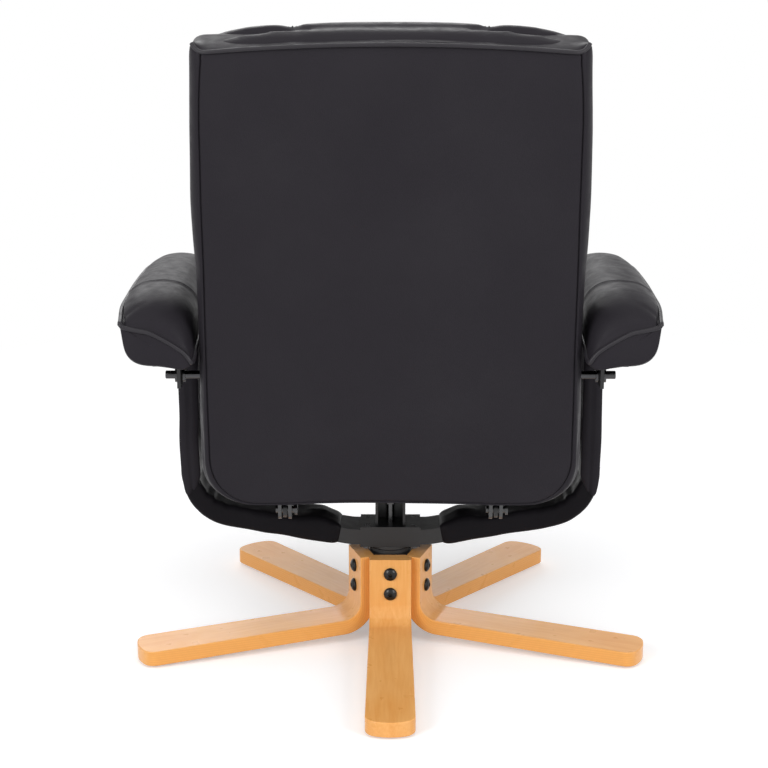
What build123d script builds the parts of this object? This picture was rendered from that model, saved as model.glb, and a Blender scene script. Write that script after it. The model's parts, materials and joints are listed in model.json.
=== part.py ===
from build123d import *
import os
from math import cos, radians, sin, tan

os.makedirs("parts", exist_ok=True)

# A swivel recliner: a padded seat and back hung between the arms of a steel cradle,
# on a base of five bent-plywood legs. Millimetres, +Z up, the front towards -Y, the
# sitter's left towards +X. The origin is on the swivel axis at the floor.

# Shared values
overrun = 5
seat_gap = 0.3
touch_gap = 0.2
bolt_slack = 0.2
running_clearance = 0.05

# Five-legged base
base_radius = 400
leg_count = 5
leg_first_angle = 90
leg_thickness = 23
leg_hub_width = 64
leg_tip_width = 72
leg_top = 139
leg_bend_radius = 28
leg_rise_share = 0.04
leg_end_bow = 10
leg_corner_radius = 20
leg_edge_round = 1.6
mitre_gap = 0.3
glide_radius = 14
glide_height = 5
glide_inset = 45
leg_bolt_radius = 4
leg_bolt_head_radius = 10
leg_bolt_head_height = 6
leg_bolt_rim_share = 0.34
leg_bolt_dome_shares = (0.84, 0.60)
leg_bolt_socket_radius = 3.4
leg_bolt_socket_depth = 3
leg_bolt_top_inset = 23
leg_bolt_spacing = 32
leg_bolt_tail = 4
leg_nut_height = 6.5
leg_nut_radius = 7.5

# Hub and swivel
hub_apothem = 35
hub_wall = 4
hub_bottom = 60
hub_plate = 5
bush_wall = 3.5
bush_flange_radius = 31
bush_flange = 5
bearing_height = 6
bearing_margin = 1
spindle_radius = 12.5
spindle_bottom = 50
spindle_plate = 4
spindle_plate_length = 92
clip_height = 2.4
clip_width = 4.5

# Widths across the chair: half the seat frame, and what lies beside it
seat_half = 254
cushion_bulge = 3
link_gap = 14
arm_gap = 21
bar_gap = 51
back_margin = 8

# U-shaped cradle bar, a bent rectangular steel tube
bar_thickness = 24
bar_depth = 60
bar_wall = 3
bar_knee = 58
bar_knee_radius = 100
bar_slope = 10
bar_corner_radius = 75
bar_side_top = 440
bar_end_plate = 9
bar_bolt_radius = 4
bar_bolt_head_radius = 7
bar_bolt_head = 4
bar_bolt_x = 35
bar_bolt_y = 20

# Leather over the cradle bar
sleeve_wall = 5
sleeve_start = 78
sleeve_rise = 70
panel_rise = 24.5
panel_skin = 5
panel_front = 172
panel_shoulder = 425
panel_toe_share = 0.35
panel_round = 2.5

# Centre post under the seat
post_width = 46
post_depth = 40
post_wall = 4
post_foot = 4
post_top = 226
post_cap = 5
stop_bolt_radius = 6
stop_nut_radius = 10
stop_nut_height = 9
bumper_radius = 14
bumper_height = 11
bumper_round = 2.7

# Arms
arm_bottom = 488
arm_height = 98
arm_width = 109
arm_rear = 228
arm_length = 450
arm_board = 15
arm_board_length = 380
arm_board_inset = 18
arm_board_width = 70
arm_board_offset = 14
bracket_plate = 5
bracket_offset = 4
bracket_base = 6
bracket_dip = 3
bracket_flange = 38
bracket_front = 240
bracket_rear = 178
bracket_bolt_radius = 3
bracket_bolt_head_radius = 4.6
bracket_bolt_head = 4
bracket_bolt_y = 20
board_screw_radius = 2.5
board_screw_head_radius = 5
board_screw_head = 3
board_screw_length = 12
board_screw_count = 4

# Recline pivots and the links that keep the seat level
pivot_y = 150
pivot_z = 459
rod_radius = 6
rod_end_round = 1.2
rod_eye_radius = 12
rod_tail = 20
bush_shell = 2.5
bush_collar = 4
bush_lip = 1.5
washer_radius = 11
washer_height = 3
hinge_y = 140
hinge_z = 250
hinge_x = 155
hinge_arm = 6
hinge_pin_radius = 5
hinge_pin_head_radius = 8
hinge_ear = 5
hinge_ear_gap = 2
hinge_eye_radius = 14
hinge_plate = 6
hinge_plate_depth = 40
hinge_plate_margin = 20
hinge_pin_tail = 4
hinge_arm_drop = 12
hinge_flange = 28
hinge_flange_plate = 5
link_front_y = -210
link_plate = 5
link_width = 30
link_pin_radius = 6
link_pin_slack = 0.5
link_pin_tail = 4
link_foot_plate = 5
link_foot_width = 40
link_foot_height = 46
link_foot_lift = 11.5
knob_radius = 21
knob_height = 24
knob_lobes = 6
knob_notch_radius = 6
knob_edge_round = 2.5
knob_blind = 18
stud_radius = 5
stud_shoulder_radius = 9
stud_head = 5.5

# Back
back_y = 170
back_z = 272
back_tilt = 10
back_length = 693
back_shoulder = 681
back_waist_flare = 9
back_waist = 440
back_low_flare = 4
back_low_radius = 70
back_top_radius = 14
boxing_wall = 4
boxing_stop = 12
panel_board = 10
rail_width = 46
rail_depth = 56
back_strap_count = 6
strap_width = 55
strap_thickness = 2.4
back_cushion_depth = 89
back_seam_place = 0.508
back_crown_rise = 7
back_crown_side = 1
pivot_plate = 4
pivot_plate_size = 60
pivot_plate_reach = 30

# Seat
seat_bottom = 252
seat_rail_height = 40
seat_rail_width = 40
seat_rear_rail = 45
seat_rear = 30
seat_front = 370
seat_skin = 4
seat_strap_count = 5
cover_sheet = 1
cushion_top = 452
nose_reach = 30

# Places and sizes worked out from the values above
cushion_half = seat_half + cushion_bulge
link_inner = seat_half + link_gap
arm_inner = seat_half + arm_gap
bar_side = seat_half + bar_gap
rod_outer = bar_side + rod_tail
back_top_half = seat_half + back_margin
back_low_half = back_top_half + back_low_flare
back_waist_half = back_top_half + back_waist_flare
back_seam = back_top_half * back_seam_place
leg_turn = 360 / leg_count
hub_rotation = leg_first_angle - leg_turn / 2
hub_outer = hub_apothem + leg_thickness
leg_tip_low = glide_height - leg_rise_share * glide_inset
leg_tip_high = leg_tip_low + leg_thickness
leg_bolt_heights = [leg_top - leg_bolt_top_inset, leg_top - leg_bolt_top_inset - leg_bolt_spacing]
bush_radius = spindle_radius + running_clearance + bush_wall
bearing_bottom = leg_top + bush_flange
plate_bottom = bearing_bottom + bearing_height
bar_bottom = plate_bottom + spindle_plate
bar_centre = bar_bottom + bar_thickness / 2
bar_top = bar_bottom + bar_thickness
arm_centre_y = arm_rear - arm_length / 2
bar_corner_height = bar_centre + (bar_side - bar_knee) * tan(radians(bar_slope))
sleeve_top = bar_corner_height + sleeve_rise
panel_bottom = bar_corner_height + panel_rise
bar_outer = bar_side + bar_thickness / 2
bar_inner = bar_side - bar_thickness / 2
bracket_x = bar_side - bracket_offset
bracket_outer = bracket_x + bracket_plate
bracket_low = bar_side_top + bracket_base
link_drop_y = hinge_y - pivot_y
link_drop_z = hinge_z - pivot_z
link_outer = link_inner + link_plate
rail_front = panel_board + touch_gap + rail_depth
cushion_rear = rail_front + strap_thickness + touch_gap
back_rail_inset = boxing_wall + touch_gap
sheet_bottom = seat_bottom - touch_gap - cover_sheet
bumper_top = sheet_bottom - seat_gap
stop_bolt_top = bumper_top - bumper_height


def finish(piece, name):
    """Label a sub-part and write it to its own file."""
    piece.part.label = name
    export_step(piece.part, f"parts/{name}.step")


def mirrored(piece):
    """The same sub-part on the other side of the chair."""
    with BuildPart() as twin:
        mirror(piece.part, about=Plane.YZ)
    return twin


# Legs: a strip of plywood bent from the hub's upright face to the floor
with BuildPart() as leg:
    with BuildSketch(Plane.XZ):
        with BuildLine():
            FilletPolyline(
                (hub_outer, leg_top),
                (hub_outer, leg_tip_high + leg_rise_share * (base_radius - hub_outer)),
                (base_radius, leg_tip_high),
                radius=leg_bend_radius,
            )
            Line((base_radius, leg_tip_high), (base_radius, leg_tip_low))
            FilletPolyline(
                (base_radius, leg_tip_low),
                (hub_apothem, leg_tip_low + leg_rise_share * (base_radius - hub_apothem)),
                (hub_apothem, leg_top),
                radius=leg_bend_radius + leg_thickness,
            )
            Line((hub_apothem, leg_top), (hub_outer, leg_top))
        make_face()
    extrude(amount=leg_tip_width, both=True)

    # Seen from above: mitred against its neighbours, then widening to a rounded tip
    mitre_slope = tan(radians(leg_turn / 2))
    mitre_half = hub_apothem * mitre_slope - mitre_gap
    mitre_end = hub_apothem + (leg_hub_width / 2 - mitre_half) / mitre_slope
    with BuildSketch(Plane.XY):
        with BuildLine():
            Polyline(
                (base_radius - leg_end_bow, leg_tip_width / 2),
                (mitre_end, leg_hub_width / 2),
                (hub_apothem, mitre_half),
                (hub_apothem, -mitre_half),
                (mitre_end, -leg_hub_width / 2),
                (base_radius - leg_end_bow, -leg_tip_width / 2),
            )
            ThreePointArc(
                (base_radius - leg_end_bow, -leg_tip_width / 2),
                (base_radius, 0),
                (base_radius - leg_end_bow, leg_tip_width / 2),
            )
        plan = make_face()
        fillet(plan.vertices().group_by(Axis.X)[-1], radius=leg_corner_radius)
    extrude(amount=leg_top, mode=Mode.INTERSECT)

    with BuildSketch(Plane.YZ):
        for height in leg_bolt_heights:
            with Locations((0, height)):
                Circle(leg_bolt_radius + bolt_slack)
    extrude(amount=hub_outer + overrun, mode=Mode.SUBTRACT)
    seen_edges = [
        edge
        for edge in leg.edges()
        if edge.center().X > hub_outer or abs(edge.center().Y) > mitre_half
    ]
    fillet(seen_edges, radius=leg_edge_round)

leg_names = ["leg_rear", "leg_right_rear", "leg_right_front", "leg_left_front", "leg_left_rear"]
leg_angles = [leg_first_angle + turn * leg_turn for turn in range(leg_count)]
base_legs = []
for name, angle in zip(leg_names, leg_angles):
    with BuildPart() as placed_leg:
        add(leg.part, rotation=(0, 0, angle))
    base_legs.append(placed_leg)
    finish(placed_leg, name)

# Glides: discs under the leg tips, trimmed to the legs' slightly sloping underside
with BuildPart() as leg_glides:
    with PolarLocations(base_radius - glide_inset, leg_count, leg_first_angle):
        Cylinder(glide_radius, glide_height * 2, align=(Align.CENTER, Align.CENTER, Align.MIN))
    for placed_leg in base_legs:
        add(placed_leg.part, mode=Mode.SUBTRACT)
    split(bisect_by=Plane.XY.offset(leg_tip_low + leg_thickness / 2), keep=Keep.BOTTOM)
finish(leg_glides, "leg_glides")

# Button-head bolts through each leg's upright part, with nuts inside the hub
bolt_end = hub_apothem - hub_wall - leg_nut_height - leg_bolt_tail
leg_bolt_rim = leg_bolt_head_height * leg_bolt_rim_share
leg_bolt_dome = leg_bolt_head_height * leg_bolt_dome_shares[0]
with BuildPart() as leg_bolt:
    with BuildSketch(Plane.XY):
        with BuildLine():
            Polyline(
                (hub_outer + leg_bolt_head_height, 0),
                (bolt_end, 0),
                (bolt_end, leg_bolt_radius),
                (hub_outer, leg_bolt_radius),
                (hub_outer, leg_bolt_head_radius),
                (hub_outer + leg_bolt_rim, leg_bolt_head_radius),
            )
            ThreePointArc(
                (hub_outer + leg_bolt_rim, leg_bolt_head_radius),
                (hub_outer + leg_bolt_dome, leg_bolt_head_radius * leg_bolt_dome_shares[1]),
                (hub_outer + leg_bolt_head_height, 0),
            )
        make_face()
    revolve(axis=Axis.X)
    with BuildSketch(Plane.YZ.offset(hub_outer + leg_bolt_head_height - leg_bolt_socket_depth)):
        RegularPolygon(leg_bolt_socket_radius, 6)
    extrude(amount=leg_bolt_socket_depth + overrun, mode=Mode.SUBTRACT)

with BuildPart() as leg_nut:
    with BuildSketch(Plane.YZ.offset(hub_apothem - hub_wall - leg_nut_height)):
        RegularPolygon(leg_nut_radius, 6)
        Circle(leg_bolt_radius + running_clearance, mode=Mode.SUBTRACT)
    extrude(amount=leg_nut_height)

bolt_places = [
    Location((0, 0, height), (0, 0, angle)) for angle in leg_angles for height in leg_bolt_heights
]
for fastener, name in ((leg_bolt, "leg_bolts"), (leg_nut, "leg_nuts")):
    with BuildPart() as fasteners:
        with Locations(*bolt_places):
            add(fastener.part)
    finish(fasteners, name)

# Hub: a five-sided steel tube with a plate welded across each end
with BuildPart() as hub_tube:
    with BuildSketch(Plane.XY.offset(hub_bottom)):
        RegularPolygon(hub_apothem, leg_count, major_radius=False, rotation=hub_rotation)
    extrude(amount=leg_top - hub_bottom)
    with BuildSketch(Plane.XY.offset(hub_bottom + hub_plate)):
        RegularPolygon(hub_apothem - hub_wall, leg_count, major_radius=False, rotation=hub_rotation)
    extrude(amount=leg_top - hub_bottom - 2 * hub_plate, mode=Mode.SUBTRACT)
    with BuildSketch(Plane.XY.offset(hub_bottom)):
        Circle(bush_radius + running_clearance)
    extrude(amount=leg_top - hub_bottom, mode=Mode.SUBTRACT)
    with Locations(*bolt_places):
        Cylinder(
            leg_bolt_radius + bolt_slack,
            hub_apothem + overrun,
            rotation=(0, 90, 0),
            align=(Align.CENTER, Align.CENTER, Align.MIN),
            mode=Mode.SUBTRACT,
        )
finish(hub_tube, "hub_tube")

# Swivel: a flanged bush pressed in the hub, a thrust ring on its flange
with BuildPart() as swivel_bush:
    with BuildSketch(Plane.XY.offset(hub_bottom)):
        Circle(bush_radius)
    extrude(amount=leg_top - hub_bottom)
    with BuildSketch(Plane.XY.offset(leg_top)):
        Circle(bush_flange_radius)
    extrude(amount=bush_flange)
    with BuildSketch(Plane.XY.offset(hub_bottom)):
        Circle(spindle_radius + running_clearance)
    extrude(amount=leg_top - hub_bottom + bush_flange, mode=Mode.SUBTRACT)
finish(swivel_bush, "swivel_bush")

with BuildPart() as thrust_bearing:
    with BuildSketch(Plane.XY.offset(bearing_bottom)):
        Circle(bush_flange_radius - bearing_margin)
        Circle(spindle_radius + bearing_margin, mode=Mode.SUBTRACT)
    extrude(amount=bearing_height - seat_gap)
    fillet(thrust_bearing.edges().filter_by(GeomType.CIRCLE).group_by(SortBy.RADIUS)[-1], bearing_margin)
finish(thrust_bearing, "thrust_bearing")

# Spindle: a shaft welded under the plate that carries the cradle bar
bar_bolt_places = [(x * bar_bolt_x, y * bar_bolt_y) for x in (-1, 1) for y in (-1, 1)]
with BuildPart() as spindle:
    with BuildSketch(Plane.XY.offset(spindle_bottom)):
        Circle(spindle_radius)
    extrude(amount=plate_bottom - spindle_bottom)
    with BuildSketch(Plane.XY.offset(plate_bottom)):
        Rectangle(spindle_plate_length, bar_depth)
    extrude(amount=spindle_plate)
    with BuildSketch(Plane.XY.offset(plate_bottom)):
        with Locations(*bar_bolt_places):
            Circle(bar_bolt_radius + bolt_slack)
    extrude(amount=spindle_plate, mode=Mode.SUBTRACT)
finish(spindle, "spindle")

with BuildPart() as spindle_clip:
    with BuildSketch(Plane.XY.offset(hub_bottom - seat_gap - clip_height)):
        Circle(spindle_radius + clip_width)
        Circle(spindle_radius + running_clearance, mode=Mode.SUBTRACT)
    extrude(amount=clip_height)
finish(spindle_clip, "spindle_clip")


def bar_half_route(start, top):
    """Points of the cradle bar's centre line in side +X, from a distance out to a height."""
    start_height = bar_centre + (start - bar_knee) * tan(radians(bar_slope))
    return [(start, start_height), (bar_side, bar_corner_height), (bar_side, top)]


def bar_whole_route(top):
    """Points of the whole bar's centre line, from the top of one side to the other."""
    half = bar_half_route(bar_knee, top)
    return [(-x, z) for x, z in reversed(half)] + half


# Cradle bar: flat over the hub, rising at a slope, then bent up beside the seat
bar_radii = [bar_corner_radius, bar_knee_radius, bar_knee_radius, bar_corner_radius]
with BuildPart() as u_bar:
    with BuildSketch(Plane.XZ):
        with BuildLine():
            FilletPolyline(*bar_whole_route(bar_side_top), radius=bar_radii)
        trace(line_width=bar_thickness)
    extrude(amount=bar_depth / 2, both=True)
    with BuildSketch(Plane.XZ):
        with BuildLine():
            FilletPolyline(*bar_whole_route(bar_side_top - bar_end_plate), radius=bar_radii)
        trace(line_width=bar_thickness - 2 * bar_wall)
    extrude(amount=bar_depth / 2 - bar_wall, both=True, mode=Mode.SUBTRACT)
    with BuildSketch(Plane.XY.offset(bar_bottom)):
        with Locations(*bar_bolt_places):
            Circle(bar_bolt_radius + bolt_slack)
    extrude(amount=bar_thickness, mode=Mode.SUBTRACT)
    bracket_bolt_x = (bracket_outer + bar_outer) / 2
    bracket_bolt_places = [
        (x * bracket_bolt_x, y * bracket_bolt_y) for x in (-1, 1) for y in (-1, 1)
    ]
    with BuildSketch(Plane.XY.offset(bar_side_top)):
        with Locations(*bracket_bolt_places):
            Circle(bracket_bolt_radius + running_clearance)
    extrude(amount=-bar_end_plate, mode=Mode.SUBTRACT)
finish(u_bar, "u_bar")

# Bolts up through the spindle plate and the bar into the foot of the post
with BuildPart() as bar_bolts:
    with BuildSketch(Plane.XY.offset(plate_bottom - bar_bolt_head)):
        with Locations(*bar_bolt_places):
            Circle(bar_bolt_head_radius)
    extrude(amount=bar_bolt_head)
    with BuildSketch(Plane.XY.offset(plate_bottom)):
        with Locations(*bar_bolt_places):
            Circle(bar_bolt_radius)
    extrude(amount=bar_top + post_foot - plate_bottom)
finish(bar_bolts, "bar_bolts")

# Centre post: a channel, open to the rear, that holds the seat's stop bolt
with BuildPart() as centre_post:
    with BuildSketch(Plane.XY.offset(bar_top)):
        Rectangle(spindle_plate_length, bar_depth)
    extrude(amount=post_foot)
    with BuildSketch(Plane.XY.offset(bar_top + post_foot)):
        Rectangle(post_width, post_depth)
        with Locations((0, post_wall)):
            Rectangle(post_width - 2 * post_wall, post_depth, mode=Mode.SUBTRACT)
    extrude(amount=post_top - bar_top - post_foot)
    with BuildSketch(Plane.XY.offset(post_top - post_cap)):
        Rectangle(post_width, post_depth)
        Circle(stop_bolt_radius + running_clearance, mode=Mode.SUBTRACT)
    extrude(amount=post_cap)
    with BuildSketch(Plane.XY.offset(bar_top)):
        with Locations(*bar_bolt_places):
            Circle(bar_bolt_radius + running_clearance)
    extrude(amount=post_foot, mode=Mode.SUBTRACT)
finish(centre_post, "centre_post")

with BuildPart() as stop_bolt:
    with BuildSketch(Plane.XY.offset(bar_top + post_foot)):
        Circle(stop_bolt_radius)
    extrude(amount=stop_bolt_top - bar_top - post_foot)
    with BuildSketch(Plane.XY.offset(post_top - post_cap - stop_nut_height)):
        RegularPolygon(stop_nut_radius, 6)
    extrude(amount=stop_nut_height)
finish(stop_bolt, "stop_bolt")

with BuildPart() as bumper:
    with BuildSketch(Plane.XY.offset(stop_bolt_top)):
        Circle(bumper_radius)
    extrude(amount=bumper_height)
    fillet(bumper.edges().filter_by(GeomType.CIRCLE), bumper_round)
finish(bumper, "bumper")

# Leather sleeve over each sloping half of the bar, round the corner to the side panel
with BuildPart() as bar_sleeve_left:
    with BuildSketch(Plane.XZ):
        with BuildLine():
            FilletPolyline(*bar_half_route(sleeve_start, sleeve_top), radius=bar_corner_radius)
        trace(line_width=bar_thickness + 2 * sleeve_wall)
    extrude(amount=bar_depth / 2 + sleeve_wall, both=True)
    with BuildSketch(Plane.XZ):
        with BuildLine():
            FilletPolyline(*bar_whole_route(bar_side_top), radius=bar_radii)
        trace(line_width=bar_thickness + 2 * touch_gap)
    extrude(amount=bar_depth / 2 + touch_gap, both=True, mode=Mode.SUBTRACT)
finish(bar_sleeve_left, "bar_sleeve_left")
bar_sleeve_right = mirrored(bar_sleeve_left)
finish(bar_sleeve_right, "bar_sleeve_right")

# Arm bracket: a base on the bar's end, an upright plate along the arm, a flange on top
flange_middle = bracket_outer + (bracket_flange - bracket_plate) / 2
screw_pitch = (arm_board_length - 2 * arm_board_inset) / (board_screw_count - 1)
with BuildPart() as arm_bracket_left:
    with BuildSketch(Plane.XY.offset(bar_side_top)):
        with Locations((bar_side, 0)):
            Rectangle(bar_thickness, bar_depth)
    extrude(amount=bracket_base)
    with BuildSketch(Plane.YZ.offset(bracket_x)):
        with BuildLine():
            Polyline(
                (bracket_rear, arm_bottom),
                (bracket_rear, bracket_low),
                (pivot_y - washer_radius, bracket_low - bracket_dip),
                (bar_depth / 2, bracket_low),
                (bar_depth / 2, bar_side_top),
                (-bar_depth / 2, bar_side_top),
                (-bar_depth / 2, bracket_low),
                (link_front_y, bracket_low - bracket_dip),
                (-bracket_front, bracket_low),
                (-bracket_front, arm_bottom),
                close=True,
            )
        make_face()
    extrude(amount=bracket_plate)
    with BuildSketch(Plane.YZ.offset(bracket_x)):
        with Locations((pivot_y, pivot_z)):
            Circle(rod_radius + running_clearance + bush_shell + running_clearance)
        with Locations((link_front_y, pivot_z)):
            Circle(stud_radius + running_clearance)
    extrude(amount=bracket_plate, mode=Mode.SUBTRACT)
    with BuildSketch(Plane.XY.offset(arm_bottom - bracket_plate)):
        with Locations((bracket_x + bracket_flange / 2, arm_centre_y)):
            Rectangle(bracket_flange, arm_board_length)
    extrude(amount=bracket_plate)
    with BuildSketch(Plane.XY.offset(bar_side_top)):
        with Locations(*bracket_bolt_places):
            Circle(bracket_bolt_radius + running_clearance)
    extrude(amount=bracket_base, mode=Mode.SUBTRACT)
    with BuildSketch(Plane.XY.offset(arm_bottom - bracket_plate)):
        with Locations((flange_middle, arm_centre_y)):
            with GridLocations(bracket_flange, screw_pitch, 1, board_screw_count):
                Circle(board_screw_radius + running_clearance)
    extrude(amount=bracket_plate, mode=Mode.SUBTRACT)
finish(arm_bracket_left, "arm_bracket_left")
arm_bracket_right = mirrored(arm_bracket_left)
finish(arm_bracket_right, "arm_bracket_right")

with BuildPart() as arm_bracket_bolts:
    with BuildSketch(Plane.XY.offset(bar_side_top + bracket_base)):
        with Locations(*bracket_bolt_places):
            Circle(bracket_bolt_head_radius)
    extrude(amount=bracket_bolt_head)
    with BuildSketch(Plane.XY.offset(bar_side_top - bar_end_plate)):
        with Locations(*bracket_bolt_places):
            Circle(bracket_bolt_radius)
    extrude(amount=bar_end_plate + bracket_base)
finish(arm_bracket_bolts, "arm_bracket_bolts")

# Arm board: the plywood that the arm's padding is fixed to
board_middle = arm_inner + arm_board_offset + arm_board_width / 2
with BuildPart() as arm_board_left:
    with BuildSketch(Plane.XY.offset(arm_bottom)):
        with Locations((board_middle, arm_centre_y)):
            RectangleRounded(arm_board_width, arm_board_length, arm_board_inset)
    extrude(amount=arm_board)
    with BuildSketch(Plane.XY.offset(arm_bottom)):
        with Locations((flange_middle, arm_centre_y)):
            with GridLocations(bracket_flange, screw_pitch, 1, board_screw_count):
                Circle(board_screw_radius + running_clearance)
    extrude(amount=board_screw_length, mode=Mode.SUBTRACT)
finish(arm_board_left, "arm_board_left")
arm_board_right = mirrored(arm_board_left)
finish(arm_board_right, "arm_board_right")

with BuildPart() as arm_board_screws:
    with BuildSketch(Plane.XY.offset(arm_bottom - bracket_plate - board_screw_head)):
        with Locations((flange_middle, arm_centre_y)):
            with GridLocations(bracket_flange, screw_pitch, 1, board_screw_count):
                Circle(board_screw_head_radius)
    extrude(amount=board_screw_head)
    with BuildSketch(Plane.XY.offset(arm_bottom - bracket_plate)):
        with Locations((flange_middle, arm_centre_y)):
            with GridLocations(bracket_flange, screw_pitch, 1, board_screw_count):
                Circle(board_screw_radius)
    extrude(amount=bracket_plate + board_screw_length)
    mirror(about=Plane.YZ)
finish(arm_board_screws, "arm_board_screws")

# Arm pad: sections from the rear end to the drooping front, as shares of the arm's size:
# station, width, height of the piped edge, height of the crown, height of the inner edge
arm_section_shares = [
    (0.00, 0.97, 0.68, 0.86, 0.16),
    (0.06, 0.99, 0.70, 0.94, 0.24),
    (0.25, 1.00, 0.71, 0.99, 0.34),
    (0.60, 0.98, 0.71, 1.00, 0.36),
    (0.82, 0.90, 0.64, 0.90, 0.32),
    (1.00, 0.72, 0.42, 0.58, 0.20),
]
arm_foot_share = 0.30
arm_toe_share = 0.12
arm_belly_share = 0.93
arm_belly_rise_share = 0.35
arm_crown_share = 0.50
with BuildPart() as arm_pad_left:
    for station, wide, edge, crown, inner in arm_section_shares:
        width = arm_width * wide
        outer_edge = (arm_inner + width, arm_bottom + arm_height * edge)
        inner_edge = (arm_inner, arm_bottom + arm_height * inner)
        foot = (arm_inner + width * (1 - arm_foot_share), arm_bottom)
        toe = (arm_inner + width * arm_toe_share, arm_bottom)
        belly = (
            arm_inner + width * arm_belly_share,
            arm_bottom + arm_height * edge * arm_belly_rise_share,
        )
        top = (arm_inner + width * arm_crown_share, arm_bottom + arm_height * crown)
        with BuildSketch(Plane.XZ.offset(station * arm_length - arm_rear)):
            with BuildLine():
                Line(toe, foot)
                ThreePointArc(foot, belly, outer_edge)
                ThreePointArc(outer_edge, top, inner_edge)
                Line(inner_edge, toe)
            make_face()
    loft()
    with BuildSketch(Plane.XY.offset(arm_bottom)):
        with Locations((board_middle, arm_centre_y)):
            RectangleRounded(
                arm_board_width + 2 * touch_gap, arm_board_length + 2 * touch_gap, arm_board_inset
            )
    extrude(amount=arm_board + touch_gap, mode=Mode.SUBTRACT)
finish(arm_pad_left, "arm_pad_left")
arm_pad_right = mirrored(arm_pad_left)
finish(arm_pad_right, "arm_pad_right")

# Side panel: a leather envelope from under the arm down round the bar's side
panel_back = bar_depth / 2 + panel_skin
panel_top = arm_bottom - bracket_plate - board_screw_head - seat_gap
with BuildPart() as side_panel_left:
    with BuildSketch(Plane.YZ.offset(bar_inner - panel_skin)):
        with BuildLine():
            Polyline(
                (-bar_depth / 2, panel_bottom),
                (panel_back, panel_bottom),
                (panel_back, panel_top),
                (-panel_front, panel_top),
                (-panel_front, panel_shoulder),
            )
            ThreePointArc(
                (-panel_front, panel_shoulder),
                (
                    -bar_depth / 2 - (panel_front - bar_depth / 2) * panel_toe_share,
                    (panel_bottom + panel_shoulder) / 2,
                ),
                (-bar_depth / 2, panel_bottom),
            )
        make_face()
    extrude(amount=bar_thickness + 2 * panel_skin)
    chamfer(side_panel_left.edges().group_by(Axis.X)[0], panel_round)
    chamfer(side_panel_left.edges().group_by(Axis.X)[-1], panel_round)
    with BuildSketch(Plane.XZ):
        with BuildLine():
            FilletPolyline(*bar_half_route(sleeve_start, sleeve_top + touch_gap), radius=bar_corner_radius)
        trace(line_width=bar_thickness + 2 * (sleeve_wall + touch_gap))
    extrude(amount=bar_depth / 2 + sleeve_wall + touch_gap, both=True, mode=Mode.SUBTRACT)
    with BuildSketch(Plane.XY.offset(sleeve_top)):
        with Locations((bar_side, 0)):
            Rectangle(bar_thickness + 2 * touch_gap, bar_depth + 2 * touch_gap)
    extrude(amount=bracket_low + bracket_bolt_head + touch_gap - sleeve_top, mode=Mode.SUBTRACT)
    with BuildSketch(Plane.XY.offset(bracket_low - bracket_base)):
        with Locations((bracket_x + bracket_plate / 2, 0)):
            Rectangle(bracket_plate + 2 * touch_gap, 2 * bracket_front)
    extrude(amount=panel_top - bracket_low + 2 * overrun, mode=Mode.SUBTRACT)
finish(side_panel_left, "side_panel_left")
side_panel_right = mirrored(side_panel_left)
finish(side_panel_right, "side_panel_right")

# Flanged bushes in the arm brackets, for the recline rods
with BuildPart() as pivot_bushes:
    for side in (-1, 1):
        with BuildSketch(Plane.YZ.offset(side * (bracket_x - bush_lip))):
            with Locations((pivot_y, pivot_z)):
                Circle(rod_radius + running_clearance + bush_shell)
        extrude(amount=side * (bracket_plate + 2 * bush_lip))
        with BuildSketch(Plane.YZ.offset(side * bracket_outer)):
            with Locations((pivot_y, pivot_z)):
                Circle(rod_radius + running_clearance + bush_shell + bush_collar)
        extrude(amount=side * bush_lip)
        with BuildSketch(Plane.YZ.offset(side * (bracket_x - bush_lip))):
            with Locations((pivot_y, pivot_z)):
                Circle(rod_radius + running_clearance)
        extrude(amount=side * (bracket_plate + 2 * bush_lip), mode=Mode.SUBTRACT)
finish(pivot_bushes, "pivot_bushes")

# Knob studs: the front links turn on them, and the lock knobs screw on their ends
with BuildPart() as knob_studs:
    for side in (-1, 1):
        for start, end, radius in (
            (link_inner - seat_gap - stud_head, link_inner - seat_gap, stud_shoulder_radius),
            (link_inner - seat_gap, bracket_outer + seat_gap + knob_blind - bush_lip, stud_radius),
            (link_outer + seat_gap, bracket_x, stud_shoulder_radius),
        ):
            with BuildSketch(Plane.YZ.offset(side * start)):
                with Locations((link_front_y, pivot_z)):
                    Circle(radius)
            extrude(amount=side * (end - start))
finish(knob_studs, "knob_studs")

# Front link: a flat strap, parallel and equal to the line from rod to seat hinge
with BuildPart() as front_link_left:
    with BuildSketch(Plane.YZ.offset(link_inner)):
        with BuildLine():
            Line(
                (link_front_y, pivot_z),
                (link_front_y + link_drop_y, pivot_z + link_drop_z),
            )
        trace(line_width=link_width)
        with Locations((link_front_y, pivot_z), (link_front_y + link_drop_y, pivot_z + link_drop_z)):
            Circle(link_width / 2)
        with Locations((link_front_y, pivot_z)):
            Circle(stud_radius + running_clearance, mode=Mode.SUBTRACT)
        with Locations((link_front_y + link_drop_y, pivot_z + link_drop_z)):
            Circle(link_pin_radius + link_pin_slack, mode=Mode.SUBTRACT)
    extrude(amount=link_plate)
finish(front_link_left, "front_link_left")
front_link_right = mirrored(front_link_left)
finish(front_link_right, "front_link_right")

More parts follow.
